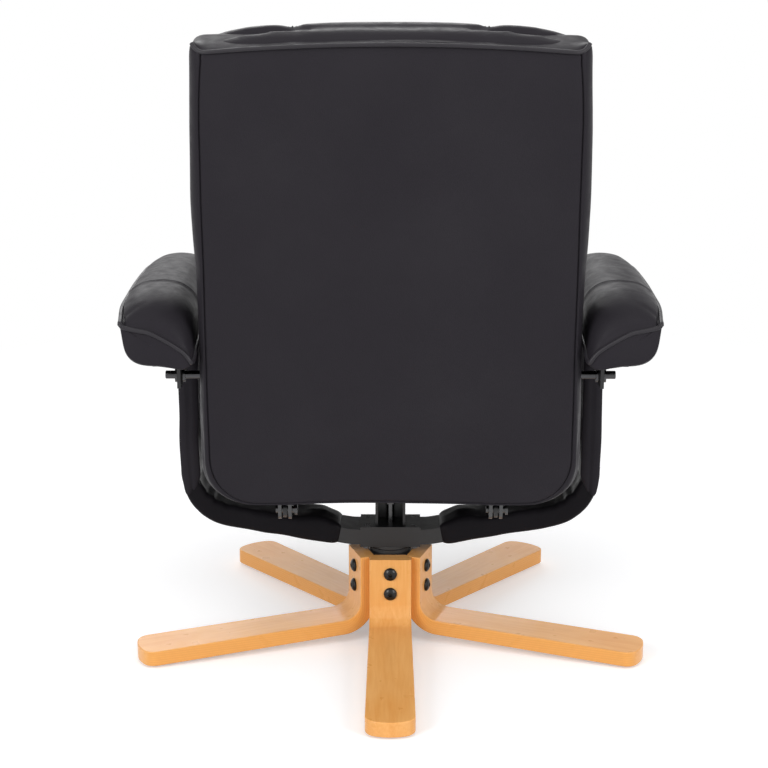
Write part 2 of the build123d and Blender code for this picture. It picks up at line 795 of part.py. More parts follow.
# Lock knob: lobed, with a blind hole for the stud's end
with BuildPart() as lock_knob_left:
    with BuildSketch(Plane.YZ.offset(bracket_outer + seat_gap)):
        with Locations((link_front_y, pivot_z)):
            Circle(knob_radius)
            with PolarLocations(knob_radius + knob_notch_radius / 2, knob_lobes):
                Circle(knob_notch_radius, mode=Mode.SUBTRACT)
    extrude(amount=knob_height)
    fillet(lock_knob_left.edges().group_by(Axis.X)[-1], radius=knob_edge_round)
    with BuildSketch(Plane.YZ.offset(bracket_outer + seat_gap)):
        with Locations((link_front_y, pivot_z)):
            Circle(stud_radius + running_clearance)
    extrude(amount=knob_blind, mode=Mode.SUBTRACT)
finish(lock_knob_left, "lock_knob_left")
lock_knob_right = mirrored(lock_knob_left)
finish(lock_knob_right, "lock_knob_right")


# Back: measured up its rear face from the lower edge, and forward from that face
back_plane = Plane(
    origin=(0, back_y, back_z),
    x_dir=(1, 0, 0),
    z_dir=(0, -cos(radians(back_tilt)), sin(radians(back_tilt))),
)


def back_station(rise):
    """A plane square to the back at a height up it, with local y towards the rear."""
    up = Vector(0, sin(radians(back_tilt)), cos(radians(back_tilt)))
    return Plane(origin=back_plane.origin + up * rise, x_dir=(1, 0, 0), z_dir=up)


def back_outline(inset):
    """The back's outline, drawn in by an inset."""
    low, high = back_low_half - inset, back_top_half - inset
    shoulder = back_shoulder - inset
    with BuildSketch() as outline:
        with BuildLine():
            Polyline((-high, shoulder), (-low, inset), (low, inset), (high, shoulder))
            ThreePointArc((high, shoulder), (0, back_length - inset), (-high, shoulder))
        make_face()
        fillet(outline.vertices().group_by(Axis.Y)[0], radius=back_low_radius - inset)
        fillet(outline.vertices().group_by(Axis.Y)[-1], radius=back_top_radius - inset)
    return outline.sketch


hinge_rise = back_plane.to_local_coords(Vector(0, hinge_y, hinge_z)).Y
hinge_depth = back_plane.to_local_coords(Vector(0, hinge_y, hinge_z)).Z
rod_hole = rod_radius + bolt_slack
rail_low = back_plane.offset(panel_board + touch_gap)
rail_top = back_length - boxing_stop
side_rail_start = back_low_radius - boxing_wall
side_rail_end = rail_top - rail_width
rail_inner = back_top_half - back_rail_inset - rail_width

with BuildPart() as back_panel:
    with BuildSketch(back_plane):
        add(back_outline(boxing_wall + touch_gap))
    extrude(amount=panel_board)
finish(back_panel, "back_panel")

with BuildPart() as back_boxing:
    with BuildSketch(back_plane):
        add(back_outline(0))
        add(back_outline(boxing_wall), mode=Mode.SUBTRACT)
        with Locations((0, back_length)):
            Rectangle(2 * back_low_half, 2 * boxing_stop, mode=Mode.SUBTRACT)
    extrude(amount=cushion_rear - touch_gap)
    for side in (-1, 1):
        with BuildSketch(Plane.YZ.offset(side * rail_inner)):
            with Locations((pivot_y, pivot_z)):
                Circle(rod_hole)
        extrude(amount=side * rail_width * 2, mode=Mode.SUBTRACT)
finish(back_boxing, "back_boxing")

# Wooden rails inside the back, each cut to the outline
with BuildPart() as back_bottom_rail:
    with BuildSketch(rail_low):
        add(back_outline(back_rail_inset))
        with Locations((0, side_rail_start / 2)):
            Rectangle(2 * back_low_half, side_rail_start, mode=Mode.INTERSECT)
    extrude(amount=rail_depth)
finish(back_bottom_rail, "back_bottom_rail")

with BuildPart() as back_top_rail:
    with BuildSketch(rail_low):
        add(back_outline(back_rail_inset))
        with Locations((0, rail_top - rail_width / 2)):
            Rectangle(2 * back_low_half, rail_width, mode=Mode.INTERSECT)
    extrude(amount=rail_depth)
finish(back_top_rail, "back_top_rail")

with BuildPart() as back_side_rail_left:
    with BuildSketch(rail_low):
        add(back_outline(back_rail_inset))
        with Locations((rail_inner + back_low_half / 2, (side_rail_start + side_rail_end) / 2)):
            Rectangle(back_low_half, side_rail_end - side_rail_start, mode=Mode.INTERSECT)
    extrude(amount=rail_depth)
    with BuildSketch(Plane.YZ.offset(rail_inner)):
        with Locations((pivot_y, pivot_z)):
            Circle(rod_hole)
    extrude(amount=2 * rail_width, mode=Mode.SUBTRACT)
finish(back_side_rail_left, "back_side_rail_left")
back_side_rail_right = mirrored(back_side_rail_left)
finish(back_side_rail_right, "back_side_rail_right")

# Elastic straps across the front of the back's rails
strap_pitch = (side_rail_end - side_rail_start - strap_width) / (back_strap_count - 1)
with BuildPart() as back_webbing:
    with BuildSketch(back_plane.offset(rail_front)):
        with Locations((0, (side_rail_start + side_rail_end) / 2)):
            with GridLocations(strap_width, strap_pitch, 1, back_strap_count):
                Rectangle(2 * (rail_inner + rail_width / 2), strap_width)
    extrude(amount=strap_thickness)
finish(back_webbing, "back_webbing")

# Back cushion: three upright channels, lofted from the foot to the shoulders.
# Each row: share of the back's length, share of its half width, share of the depth
back_cushion_shares = [
    (0.03, 0.94, 0.60),
    (0.10, 1.01, 0.84),
    (0.30, 1.01, 1.00),
    (0.58, 1.04, 0.90),
    (0.82, 1.03, 0.94),
    (0.93, 1.02, 0.88),
    (0.984, 1.01, 0.58),
]
# The roll over the top: as above, with the share of its rear that is drawn in
back_roll_shares = [
    (0.984, 1.00, 0.00, 0.58),
    (0.998, 0.985, 0.05, 0.30),
    (1.010, 0.96, 0.20, 0.02),
]
back_seam_share = 0.74
back_edge_share = 0.72


def channel_outline(half, rear, edge, front, crown):
    """A cushion's section: a flat rear, sides, and three crowned channels at the front."""
    middle = (back_seam + half) / 2
    with BuildSketch() as outline:
        with BuildLine():
            Polyline((half, edge), (half, rear), (-half, rear), (-half, edge))
            ThreePointArc((-half, edge), (-middle, crown), (-back_seam, front))
            ThreePointArc((-back_seam, front), (0, crown), (back_seam, front))
            ThreePointArc((back_seam, front), (middle, crown), (half, edge))
        make_face()
    return outline.sketch


def back_section(wide, deep, rear):
    """The back cushion's section, from shares of its half width and of its depth."""
    depth = back_cushion_depth * deep
    return channel_outline(
        back_top_half * wide,
        -rear,
        -cushion_rear - depth * back_edge_share,
        -cushion_rear - depth * back_seam_share,
        -cushion_rear - depth,
    )


with BuildPart() as back_cushion:
    for rise, wide, deep in back_cushion_shares:
        with BuildSketch(back_station(back_length * rise)):
            add(back_section(wide, deep, cushion_rear))
    loft()
    for rise, wide, rear_share, deep in back_roll_shares:
        with BuildSketch(back_station(back_length * rise)):
            add(back_section(wide, deep, panel_board + touch_gap + cushion_rear * rear_share))
    loft()
    with BuildSketch(back_plane):
        with BuildLine():
            crown_side = back_shoulder + back_crown_side
            ThreePointArc(
                (-back_low_half, 0), (-back_waist_half, back_waist), (-back_top_half, crown_side)
            )
            ThreePointArc(
                (-back_top_half, crown_side),
                (0, back_length + back_crown_rise),
                (back_top_half, crown_side),
            )
            ThreePointArc(
                (back_top_half, crown_side), (back_waist_half, back_waist), (back_low_half, 0)
            )
            Line((back_low_half, 0), (-back_low_half, 0))
        make_face()
    extrude(amount=2 * cushion_rear + back_cushion_depth, mode=Mode.INTERSECT)
finish(back_cushion, "back_cushion")

# Recline rods, welded to plates inside the side rails, with washers beside the brackets
rod_inner = rail_inner - touch_gap - pivot_plate
with BuildPart() as pivot_plates:
    for side in (-1, 1):
        with BuildSketch(Plane.YZ.offset(side * rod_inner)):
            with Locations((pivot_y + pivot_plate_reach / 2, pivot_z)):
                Rectangle(pivot_plate_reach, pivot_plate_size, rotation=-back_tilt)
            with Locations((pivot_y, pivot_z)):
                Circle(rod_eye_radius)
                Circle(rod_radius + running_clearance, mode=Mode.SUBTRACT)
        extrude(amount=side * pivot_plate)
finish(pivot_plates, "pivot_plates")

with BuildPart() as pivot_rods:
    for side in (-1, 1):
        with BuildSketch(Plane.YZ.offset(side * rod_inner)):
            with Locations((pivot_y, pivot_z)):
                Circle(rod_radius)
        extrude(amount=side * (rod_outer - rod_inner))
    fillet(pivot_rods.edges().group_by(Axis.X)[0], radius=rod_end_round)
    fillet(pivot_rods.edges().group_by(Axis.X)[-1], radius=rod_end_round)
finish(pivot_rods, "pivot_rods")

with BuildPart() as rod_washers:
    for side in (-1, 1):
        for start in (
            bracket_x - bush_lip - seat_gap - washer_height,
            bracket_outer + bush_lip + seat_gap,
        ):
            with BuildSketch(Plane.YZ.offset(side * start)):
                with Locations((pivot_y, pivot_z)):
                    Circle(washer_radius)
                    Circle(rod_radius + running_clearance, mode=Mode.SUBTRACT)
            extrude(amount=side * washer_height)
finish(rod_washers, "rod_washers")

# Hinge between back and seat: a clevis under the back, a pin, and the seat's arm
ear_start = hinge_arm / 2 + hinge_ear_gap
ear_drop = -hinge_rise - hinge_plate
with BuildPart() as hinge_brackets:
    for side in (-1, 1):
        with BuildSketch(back_station(-hinge_plate)):
            with Locations((side * hinge_x, -hinge_depth)):
                Rectangle(2 * (ear_start + hinge_ear) + hinge_plate_margin, hinge_plate_depth)
        extrude(amount=hinge_plate)
        for ear in (-ear_start - hinge_ear, ear_start):
            ear_plane = Plane(
                origin=(side * hinge_x + ear, hinge_y, hinge_z),
                x_dir=(0, -cos(radians(back_tilt)), sin(radians(back_tilt))),
                z_dir=(1, 0, 0),
            )
            with BuildSketch(ear_plane):
                Circle(hinge_eye_radius)
                Rectangle(
                    2 * hinge_eye_radius, ear_drop + touch_gap, align=(Align.CENTER, Align.MAX)
                )
                Circle(hinge_pin_radius + running_clearance, mode=Mode.SUBTRACT)
            extrude(amount=hinge_ear)
finish(hinge_brackets, "hinge_brackets")

with BuildPart() as hinge_pins:
    pin_half = ear_start + hinge_ear + hinge_pin_tail
    for side in (-1, 1):
        with BuildSketch(Plane.YZ.offset(side * hinge_x - pin_half)):
            with Locations((hinge_y, hinge_z)):
                Circle(hinge_pin_radius)
        extrude(amount=2 * pin_half)
        with BuildSketch(Plane.YZ.offset(side * hinge_x - pin_half - hinge_pin_tail)):
            with Locations((hinge_y, hinge_z)):
                Circle(hinge_pin_head_radius)
        extrude(amount=hinge_pin_tail)
finish(hinge_pins, "hinge_pins")

# Seat rails, in wood
seat_frame_rear = seat_rear - seat_rear_rail
with BuildPart() as seat_rail_at_rear:
    with BuildSketch(Plane.XY.offset(seat_bottom)):
        with Locations((0, seat_rear - seat_rear_rail / 2)):
            Rectangle(2 * seat_half, seat_rear_rail)
    extrude(amount=seat_rail_height)
finish(seat_rail_at_rear, "seat_rear_rail")

with BuildPart() as seat_front_rail:
    with BuildSketch(Plane.XY.offset(seat_bottom)):
        with Locations((0, seat_rail_width / 2 - seat_front)):
            Rectangle(2 * seat_half, seat_rail_width)
    extrude(amount=seat_rail_height)
finish(seat_front_rail, "seat_front_rail")

with BuildPart() as seat_side_rail_left:
    side_rail_run = seat_frame_rear + seat_front - seat_rail_width
    side_rail_middle = seat_frame_rear - side_rail_run / 2
    with BuildSketch(Plane.XY.offset(seat_bottom)):
        with Locations((seat_half - seat_rail_width / 2, side_rail_middle)):
            Rectangle(seat_rail_width, side_rail_run)
    extrude(amount=seat_rail_height)
finish(seat_side_rail_left, "seat_side_rail_left")
seat_side_rail_right = mirrored(seat_side_rail_left)
finish(seat_side_rail_right, "seat_side_rail_right")

# Leather round the seat rails, straps above them and a dust cover below
seat_middle = (seat_rear - seat_front) / 2
seat_run = seat_rear + seat_front
with BuildPart() as seat_border:
    with BuildSketch(Plane.XY.offset(sheet_bottom)):
        with Locations((0, seat_middle)):
            Rectangle(2 * (seat_half + seat_skin), seat_run + 2 * seat_skin)
            Rectangle(
                2 * (seat_half + touch_gap), seat_run + 2 * touch_gap, mode=Mode.SUBTRACT
            )
    extrude(amount=seat_bottom + seat_rail_height - sheet_bottom)
finish(seat_border, "seat_border")

seat_strap_pitch = (seat_run - seat_rail_width - strap_width) / seat_strap_count
with BuildPart() as seat_webbing:
    with BuildSketch(Plane.XY.offset(seat_bottom + seat_rail_height)):
        with Locations((0, seat_middle)):
            with GridLocations(strap_width, seat_strap_pitch, 1, seat_strap_count):
                Rectangle(2 * seat_half - seat_rail_width / 2, strap_width)
    extrude(amount=strap_thickness)
finish(seat_webbing, "seat_webbing")

with BuildPart() as dust_cover:
    with BuildSketch(Plane.XY.offset(sheet_bottom)):
        with Locations((0, seat_middle)):
            Rectangle(2 * seat_half, seat_run)
        for side in (-1, 1):
            with Locations((side * hinge_x + side * (hinge_flange - hinge_arm) / 2, seat_rear)):
                Rectangle(hinge_flange + 2 * hinge_arm, 2 * seat_rear_rail, mode=Mode.SUBTRACT)
    extrude(amount=cover_sheet)
finish(dust_cover, "dust_cover")

# Seat cushion: three channels, a crown, and a nose that rolls down over the front rail.
# Each row: share of the run from the rear, share of the half width, share of the height
seat_cushion_shares = [
    (0.00, 0.96, 0.84),
    (0.12, 0.99, 0.92),
    (0.50, 1.00, 0.97),
    (0.80, 1.00, 1.00),
    (1.00, 0.99, 0.96),
]
nose_shares = [(0.00, 0.99, 0.96), (0.55, 0.97, 0.88), (1.00, 0.92, 0.68)]
nose_lift_share = 0.25
seat_seam_share = 0.84
seat_edge_share = 0.74
cushion_base = seat_bottom + seat_rail_height + strap_thickness + touch_gap
cushion_height = cushion_top - cushion_base
nose_start = seat_front + seat_skin + touch_gap
cushion_nose = seat_front + nose_reach


def seat_section(wide, tall, base):
    """The seat cushion's section, from shares of its half width and of its height."""
    height = cushion_height * tall
    return channel_outline(
        cushion_half * wide,
        base,
        cushion_base + height * seat_edge_share,
        cushion_base + height * seat_seam_share,
        cushion_base + height,
    )


with BuildPart() as seat_cushion:
    for run, wide, tall in seat_cushion_shares:
        with BuildSketch(Plane.XZ.offset(run * nose_start - seat_rear * (1 - run))):
            add(seat_section(wide, tall, cushion_base))
    loft()
    for run, wide, tall in nose_shares:
        with BuildSketch(Plane.XZ.offset(nose_start + run * (cushion_nose - nose_start))):
            add(seat_section(wide, tall, seat_bottom + seat_rail_height * run * nose_lift_share))
    loft()
finish(seat_cushion, "seat_cushion")

# Seat's hinge arms: upright steel bars behind the rear rail, with a flange under it
arm_foot = hinge_z - hinge_arm_drop
with BuildPart() as hinge_arms:
    for side in (-1, 1):
        with BuildSketch(Plane.YZ.offset(side * hinge_x - hinge_arm / 2)):
            with BuildLine():
                Polyline(
                    (seat_frame_rear, seat_bottom),
                    (seat_frame_rear, arm_foot),
                    (hinge_y, arm_foot),
                    (hinge_y, arm_foot + 2 * hinge_arm_drop),
                    (seat_rear + seat_skin + touch_gap, arm_foot + 2 * hinge_arm_drop),
                    (seat_rear + seat_skin + touch_gap, sheet_bottom - touch_gap),
                    (seat_rear, sheet_bottom - touch_gap),
                    (seat_rear, seat_bottom),
                    close=True,
                )
            make_face()
            with Locations((hinge_y, hinge_z)):
                Circle(hinge_arm_drop)
                Circle(hinge_pin_radius + running_clearance, mode=Mode.SUBTRACT)
        extrude(amount=hinge_arm)
        with BuildSketch(Plane.XY.offset(seat_bottom - hinge_flange_plate)):
            with Locations((side * (hinge_x + hinge_flange / 2), seat_rear - seat_rear_rail / 2)):
                Rectangle(hinge_flange, seat_rear_rail - 2 * touch_gap)
        extrude(amount=hinge_flange_plate)
finish(hinge_arms, "hinge_arms")

# Link feet: a plate on each side of the seat with the pin that the front link hangs on
link_low_y = link_front_y + link_drop_y
link_low_z = pivot_z + link_drop_z
foot_x = seat_half + seat_skin
with BuildPart() as link_feet:
    for side in (-1, 1):
        with BuildSketch(Plane.YZ.offset(side * foot_x)):
            with Locations((link_low_y, link_low_z + link_foot_lift)):
                RectangleRounded(link_foot_width, link_foot_height, link_pin_radius)
        extrude(amount=side * link_foot_plate)
        with BuildSketch(Plane.YZ.offset(side * foot_x)):
            with Locations((link_low_y, link_low_z)):
                Circle(link_pin_radius)
        extrude(amount=side * (link_outer + link_pin_tail - foot_x))
finish(link_feet, "link_feet")
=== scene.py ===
import json
import math
from functools import partialmethod

import bmesh
import bpy
import numpy as np
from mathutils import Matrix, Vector, noise
from mathutils.bvhtree import BVHTree


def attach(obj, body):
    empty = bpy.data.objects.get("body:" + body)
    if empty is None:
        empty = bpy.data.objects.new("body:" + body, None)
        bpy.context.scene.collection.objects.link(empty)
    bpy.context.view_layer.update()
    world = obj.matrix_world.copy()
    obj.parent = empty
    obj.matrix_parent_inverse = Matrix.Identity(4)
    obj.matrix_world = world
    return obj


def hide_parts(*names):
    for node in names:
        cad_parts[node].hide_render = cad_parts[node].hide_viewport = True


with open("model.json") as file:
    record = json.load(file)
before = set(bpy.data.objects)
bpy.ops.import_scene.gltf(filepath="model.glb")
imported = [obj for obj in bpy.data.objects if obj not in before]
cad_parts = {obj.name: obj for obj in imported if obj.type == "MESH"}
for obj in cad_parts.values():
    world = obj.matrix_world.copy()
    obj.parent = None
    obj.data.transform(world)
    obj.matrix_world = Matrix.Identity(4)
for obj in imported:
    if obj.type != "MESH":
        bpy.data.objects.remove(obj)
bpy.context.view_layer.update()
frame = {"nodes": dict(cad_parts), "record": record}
nodes = frame["nodes"]
scene = bpy.context.scene
# mathutils takes its noise from the clock unless it has a seed
noise.seed_set(11)
print("frame loaded:", len(nodes), "CAD nodes")



def addObject(name, data):
    added = bpy.data.objects.new(name, data)
    scene.collection.objects.link(added)
    return added


# The photograph's view
camera = {"place": (0.0, 3.28, 1.352), "down": 16.16, "turn": 0.003, "lens": 105.6}
cameraData = bpy.data.cameras.new("photoCamera")
cameraData.lens = camera["lens"]
cameraData.sensor_width = 36
photoCamera = addObject("photoCamera", cameraData)
photoCamera.location = camera["place"]
photoCamera.rotation_euler = (math.radians(90 - camera["down"]), 0, math.pi + camera["turn"])
scene.camera = photoCamera
scene.view_settings.view_transform = "Standard"


class Wire:
    def __init__(self, finish, socket):
        self.finish, self.socket = finish, socket

    def maths(self, operation, *others):
        return self.finish.make("Math", {"operation": operation}, dict(enumerate((self, *others))))

    def __rsub__(self, other):
        return self.finish.make("Math", {"operation": "SUBTRACT"}, {0: other, 1: self})

    __add__ = partialmethod(maths, "ADD")
    __sub__ = partialmethod(maths, "SUBTRACT")
    __mul__ = partialmethod(maths, "MULTIPLY")
    __truediv__ = partialmethod(maths, "DIVIDE")
    __pow__ = partialmethod(maths, "POWER")
    __abs__ = partialmethod(maths, "ABSOLUTE")
    above = partialmethod(maths, "MAXIMUM")

    def spread(self, low, high, newLow=0, newHigh=1):
        values = {"Value": self, "From Min": low, "From Max": high, "To Min": newLow, "To Max": newHigh}
        return self.finish.make("MapRange", {"clamp": True}, values)



class Finish:
    def __init__(self, owner):
        owner.use_nodes = True
        self.owner, self.tree = owner, owner.node_tree
        self.tree.nodes.clear()
        self.place = self.make("TexCoord", output="Object")

    def make(self, kind, settings=None, values=None, output=0):
        made = self.tree.nodes.new("ShaderNode" + kind)
        for key, value in (settings or {}).items():
            setattr(made, key, value)
        for key, value in (values or {}).items():
            if isinstance(value, Wire):
                self.tree.links.new(value.socket, made.inputs[key])
            else:
                made.inputs[key].default_value = value
        return Wire(self, made.outputs[output]) if made.outputs else made

    def seen(self):
        # 1 for what the camera sees, straight on, mirrored or through glass
        rays = [self.make("LightPath", output=ray)
                for ray in ("Is Camera Ray", "Is Glossy Ray", "Is Transmission Ray")]
        return rays[0].above(rays[1]).above(rays[2])

    def turned(self, angle=0, scale=(1, 1, 1), place=None):
        values = {"Vector": place or self.place, "Rotation": (0, 0, angle), "Scale": scale}
        return self.make("Mapping", None, values)

    def part(self, axis, place=None):
        return self.make("SeparateXYZ", None, {0: place or self.place}, output=axis)

    def joined(self, x, y, z):
        return self.make("CombineXYZ", None, {0: x, 1: y, 2: z})

    def cloud(self, scale, detail=3, roughness=0.5, place=None, distortion=0):
        values = {"Vector": place or self.place, "Scale": scale, "Detail": detail}
        values.update({"Roughness": roughness, "Distortion": distortion})
        return self.make("TexNoise", None, values, output="Fac")

    def cells(self, scale, feature="F1", place=None):
        values = {"Vector": place or self.place, "Scale": scale}
        return self.make("TexVoronoi", {"feature": feature}, values, output="Distance")

    def blend(self, amount, first, second):
        values = {0: amount, 6: (*first, 1) if isinstance(first, tuple) else first,
                  7: (*second, 1) if isinstance(second, tuple) else second}
        return self.make("Mix", {"data_type": "RGBA"}, values, output=2)

    def bump(self, height, strength, distance, normal=None):
        values = {"Height": height, "Strength": strength, "Distance": distance}
        if normal:
            values["Normal"] = normal
        return self.make("Bump", None, values, output="Normal")

    def surface(self, colour, roughness, normal=None, **fixed):
        values = {"Base Color": colour, "Roughness": roughness}
        if normal:
            values["Normal"] = normal
        values.update({key.replace("_", " "): value for key, value in fixed.items()})
        shader = self.make("BsdfPrincipled", None, values)
        self.make("OutputMaterial", None, {"Surface": shader})
        return self.owner


def newFinish(name):
    return Finish(bpy.data.materials.new(name))


# Pale floor, white surroundings and soft light
studio = {
    "floorSize": 60.0,
    "floorColour": (0.84, 0.84, 0.85),
    "floorPatch": (0.86, 0.86, 0.87),
    "whiteFrom": 0.75,   # the floor fades to plain white between these radii
    "whiteAt": 1.9,
    "floorGlow": 0.34,
    "ambient": 0.5,
    "lamps": [
        ("overheadLamp", (0.0, 0.9, 3.6), (0.0, 0.0, 0.5), (3.2, 2.4), 26),
        ("rearLampLeft", (2.6, 3.0, 2.0), (0.0, 0.1, 0.45), (1.6, 2.2), 80),
        ("rearLampRight", (-2.9, 2.6, 1.9), (0.0, 0.1, 0.45), (1.6, 2.2), 66),
        ("frontLamp", (0.6, -3.6, 2.4), (0.0, 0.0, 0.5), (2.6, 2.0), 40),
    ],
}


def paperFinish():
    finish = newFinish("paperFloor")
    tint = finish.blend(finish.cloud(3.0, 2), studio["floorColour"], studio["floorPatch"])
    shader = finish.make("BsdfDiffuse", None, {"Color": tint})
    glow = finish.make("Emission", None, {"Color": (1, 1, 1, 1), "Strength": studio["floorGlow"]})
    white = finish.make("Emission", None, {"Color": (1, 1, 1, 1), "Strength": 1.0})
    x, y = finish.part(0), finish.part(1)
    away = ((x * x + y * y) ** 0.5).spread(studio["whiteFrom"], studio["whiteAt"])
    lit = finish.make("AddShader", None, {0: shader, 1: glow})
    faded = finish.make("MixShader", None, {0: away, 1: lit, 2: white})
    mixed = finish.make("MixShader", None, {0: finish.seen(), 1: shader, 2: faded})
    finish.make("OutputMaterial", None, {"Surface": mixed})
    return finish.owner


def makeStudio():
    half = studio["floorSize"] / 2
    mesh = bpy.data.meshes.new("studioFloor")
    corners = [(-half, -half, 0), (half, -half, 0), (half, half, 0), (-half, half, 0)]
    mesh.from_pydata(corners, [], [(0, 1, 2, 3)])
    mesh.materials.append(paperFinish())
    floor = addObject("studioFloor", mesh)
    for name, place, target, size, power in studio["lamps"]:
        light = bpy.data.lights.new(name, "AREA")
        light.shape = "RECTANGLE"
        light.size, light.size_y = size
        light.energy = power
        lamp = addObject(name, light)
        lamp.location = place
        aim = Vector(target) - Vector(place)
        lamp.rotation_euler = aim.to_track_quat("-Z", "Y").to_euler()
    room = Finish(bpy.data.worlds.new("whiteRoom"))
    scene.world = room.owner
    strength = room.seen().spread(0, 1, studio["ambient"], 1.0)
    white = room.make("Background", None, {"Color": (1, 1, 1, 1), "Strength": strength})
    room.make("OutputWorld", None, {"Surface": white})


makeStudio()
print("studio ready")

# Black leatherette: a fine pebble grain with faint pulls and a satin face
leather = {
    "colour": (0.0205, 0.0185, 0.0225),
    "worn": (0.027, 0.025, 0.029),
    "specular": 0.05,
    "grainScale": 620.0,
    "grainHeight": 0.00022,
    "creaseScale": 34.0,
    "creaseHeight": 0.0016,
    "roughness": (0.36, 0.48),
}


def leatherFinish(name, crease=1.0, darker=1.0, specular=leather["specular"]):
    finish = newFinish(name)
    pulled = finish.cloud(9, 2)
    grain = finish.cells(leather["grainScale"]) * 0.7 + finish.cloud(leather["grainScale"] * 0.6, 2) * 0.5
    fold = finish.cloud(leather["creaseScale"], 4, 0.62, distortion=0.6)
    soft = finish.cloud(leather["creaseScale"] / 4, 2)
    rubbed = finish.cloud(5, 3).spread(0.45, 0.72)
    low = tuple(darker * part for part in leather["colour"])
    high = tuple(darker * part for part in leather["worn"])
    colour = finish.blend(rubbed * 0.45 + pulled * 0.2, low, high)
    rough = finish.cloud(70, 2).spread(0.3, 0.7, *leather["roughness"])
    normal = finish.bump(soft, 0.35 * crease, 0.006)
    normal = finish.bump(fold, 0.3 * crease, leather["creaseHeight"], normal)
    normal = finish.bump(grain, 0.55, leather["grainHeight"], normal)
    return finish.surface(colour, rough, normal, Specular_IOR_Level=specular)


# Bent beech plywood under a clear honey lacquer
beech = {
    "light": (0.88, 0.47, 0.165),
    "deep": (0.76, 0.33, 0.08),
    "edge": (0.88, 0.42, 0.11),
    "glue": (0.48, 0.19, 0.05),
    "bendCentre": (0.086, 0.0546),
    "bendRadius": 0.028,
    "plies": 13,
    "thickness": 0.023,
}


def beechFinish(name, angle):
    finish = newFinish(name)
    along = finish.turned(-math.radians(angle))
    x, y, z = (finish.part(axis, along) for axis in range(3))
    inX = (beech["bendCentre"][0] - x).above(0)
    inZ = (beech["bendCentre"][1] - z).above(0)
    layer = ((inX * inX + inZ * inZ) ** 0.5 - beech["bendRadius"]) / beech["thickness"]
    run = finish.joined(x - z, y, layer * 0.02)
    fibres = finish.turned(0, (5, 90, 90), run)
    grain = finish.cloud(2.2, 5, 0.62, fibres, 0.5)
    flecks = finish.cloud(1.0, 2, 0.6, finish.turned(0, (120, 1600, 1600), run))
    broad = finish.cloud(1.6, 2, 0.5, finish.turned(0, (3, 16, 16), run), 1.0)
    face = finish.blend((grain * 0.7 + broad * 0.5 - 0.1).spread(0.25, 0.75), beech["light"], beech["deep"])
    face = finish.blend((flecks - 0.58).spread(0, 0.2) * 0.03, face, beech["glue"])
    normal = finish.make("TexCoord", output="Normal")
    across = abs(finish.part(1, finish.turned(-math.radians(angle), place=normal)))
    cut = (layer * beech["plies"] + finish.cloud(30, 2, place=run) * 0.25)
    line = abs(cut.maths("FRACT") - 0.5).spread(0.3, 0.48)
    odd = (cut / 2).maths("FRACT").spread(0.45, 0.55)
    plies = finish.blend(odd * 0.35 + grain * 0.25, beech["edge"], beech["deep"])
    plies = finish.blend(line * 0.55, plies, beech["glue"])
    colour = finish.blend(across.spread(0.55, 0.8), face, plies)
    rough = finish.cloud(40, 2, place=run).spread(0.3, 0.7, 0.26, 0.36)
    bump = finish.bump(grain, 0.14, 0.0005)
    return finish.surface(colour, rough, bump, Specular_IOR_Level=0.18,
                          Coat_Weight=0.22, Coat_Roughness=0.12)


# Plain finishes: two colours, roughness range, metallic, and the texture's scale, depth and strength
plainFinishes = {
    "black_steel": ((0.005, 0.005, 0.006), (0.01, 0.01, 0.011), (0.3, 0.42), 0.0, 900, 0.00012, 0.4),
    "black_bolt": ((0.014, 0.014, 0.015), (0.035, 0.034, 0.033), (0.18, 0.32), 0.7, 400, 0.00005, 0.5),
    "zinc_steel": ((0.42, 0.42, 0.41), (0.58, 0.58, 0.56), (0.22, 0.38), 1.0, 300, 0.00005, 0.6),
    "dark_zinc": ((0.055, 0.055, 0.058), (0.12, 0.12, 0.12), (0.2, 0.34), 1.0, 300, 0.00005, 0.6),
    "black_chrome": ((0.05, 0.05, 0.052), (0.085, 0.085, 0.088), (0.05, 0.1), 1.0, 200, 0.00003, 0.3),
    "nylon": ((0.02, 0.02, 0.021), (0.032, 0.032, 0.033), (0.45, 0.55), 0.0, 500, 0.00005, 0.3),
    "rubber": ((0.014, 0.014, 0.014), (0.024, 0.024, 0.024), (0.62, 0.75), 0.0, 700, 0.0001, 0.4),
    "knob_plastic": ((0.016, 0.016, 0.017), (0.026, 0.026, 0.027), (0.36, 0.48), 0.0, 1100, 0.00012, 0.4),
    "glide_felt": ((0.022, 0.019, 0.016), (0.038, 0.033, 0.028), (0.85, 0.95), 0.0, 1500, 0.0003, 0.6),
    "liner": ((0.013, 0.013, 0.014), (0.028, 0.028, 0.03), (0.82, 0.92), 0.0, 1800, 0.0003, 0.7),
    "softwood": ((0.52, 0.33, 0.17), (0.4, 0.23, 0.11), (0.6, 0.75), 0.0, 90, 0.0003, 0.4),
    "board": ((0.46, 0.3, 0.16), (0.36, 0.21, 0.1), (0.6, 0.75), 0.0, 120, 0.0003, 0.4),
}


def plainFinish(name):
    first, second, rough, metal, scale, depth, strength = plainFinishes[name]
    finish = newFinish(name)
    patch = finish.cloud(scale / 12, 3)
    fine = finish.cloud(scale, 3, 0.6)
    colour = finish.blend(patch * 0.6 + fine * 0.4, first, second)
    normal = finish.bump(fine, strength, depth)
    return finish.surface(colour, patch.spread(0.3, 0.7, *rough), normal, Metallic=metal)


def webbingFinish():
    finish = newFinish("webbing")
    waves = []
    for axis, scale in (("X", 260.0), ("Z", 200.0)):
        values = {"Vector": finish.place, "Scale": scale}
        waves.append(finish.make("TexWave", {"bands_direction": axis}, values))
    strips = [finish.make("SeparateColor", None, {0: wave}) for wave in waves]
    weave = strips[0] * strips[1]
    colour = finish.blend(weave, (0.02, 0.02, 0.022), (0.06, 0.06, 0.065))
    return finish.surface(colour, 0.8, finish.bump(weave, 0.5, 0.0004))


finishes = {name: plainFinish(name) for name in plainFinishes}
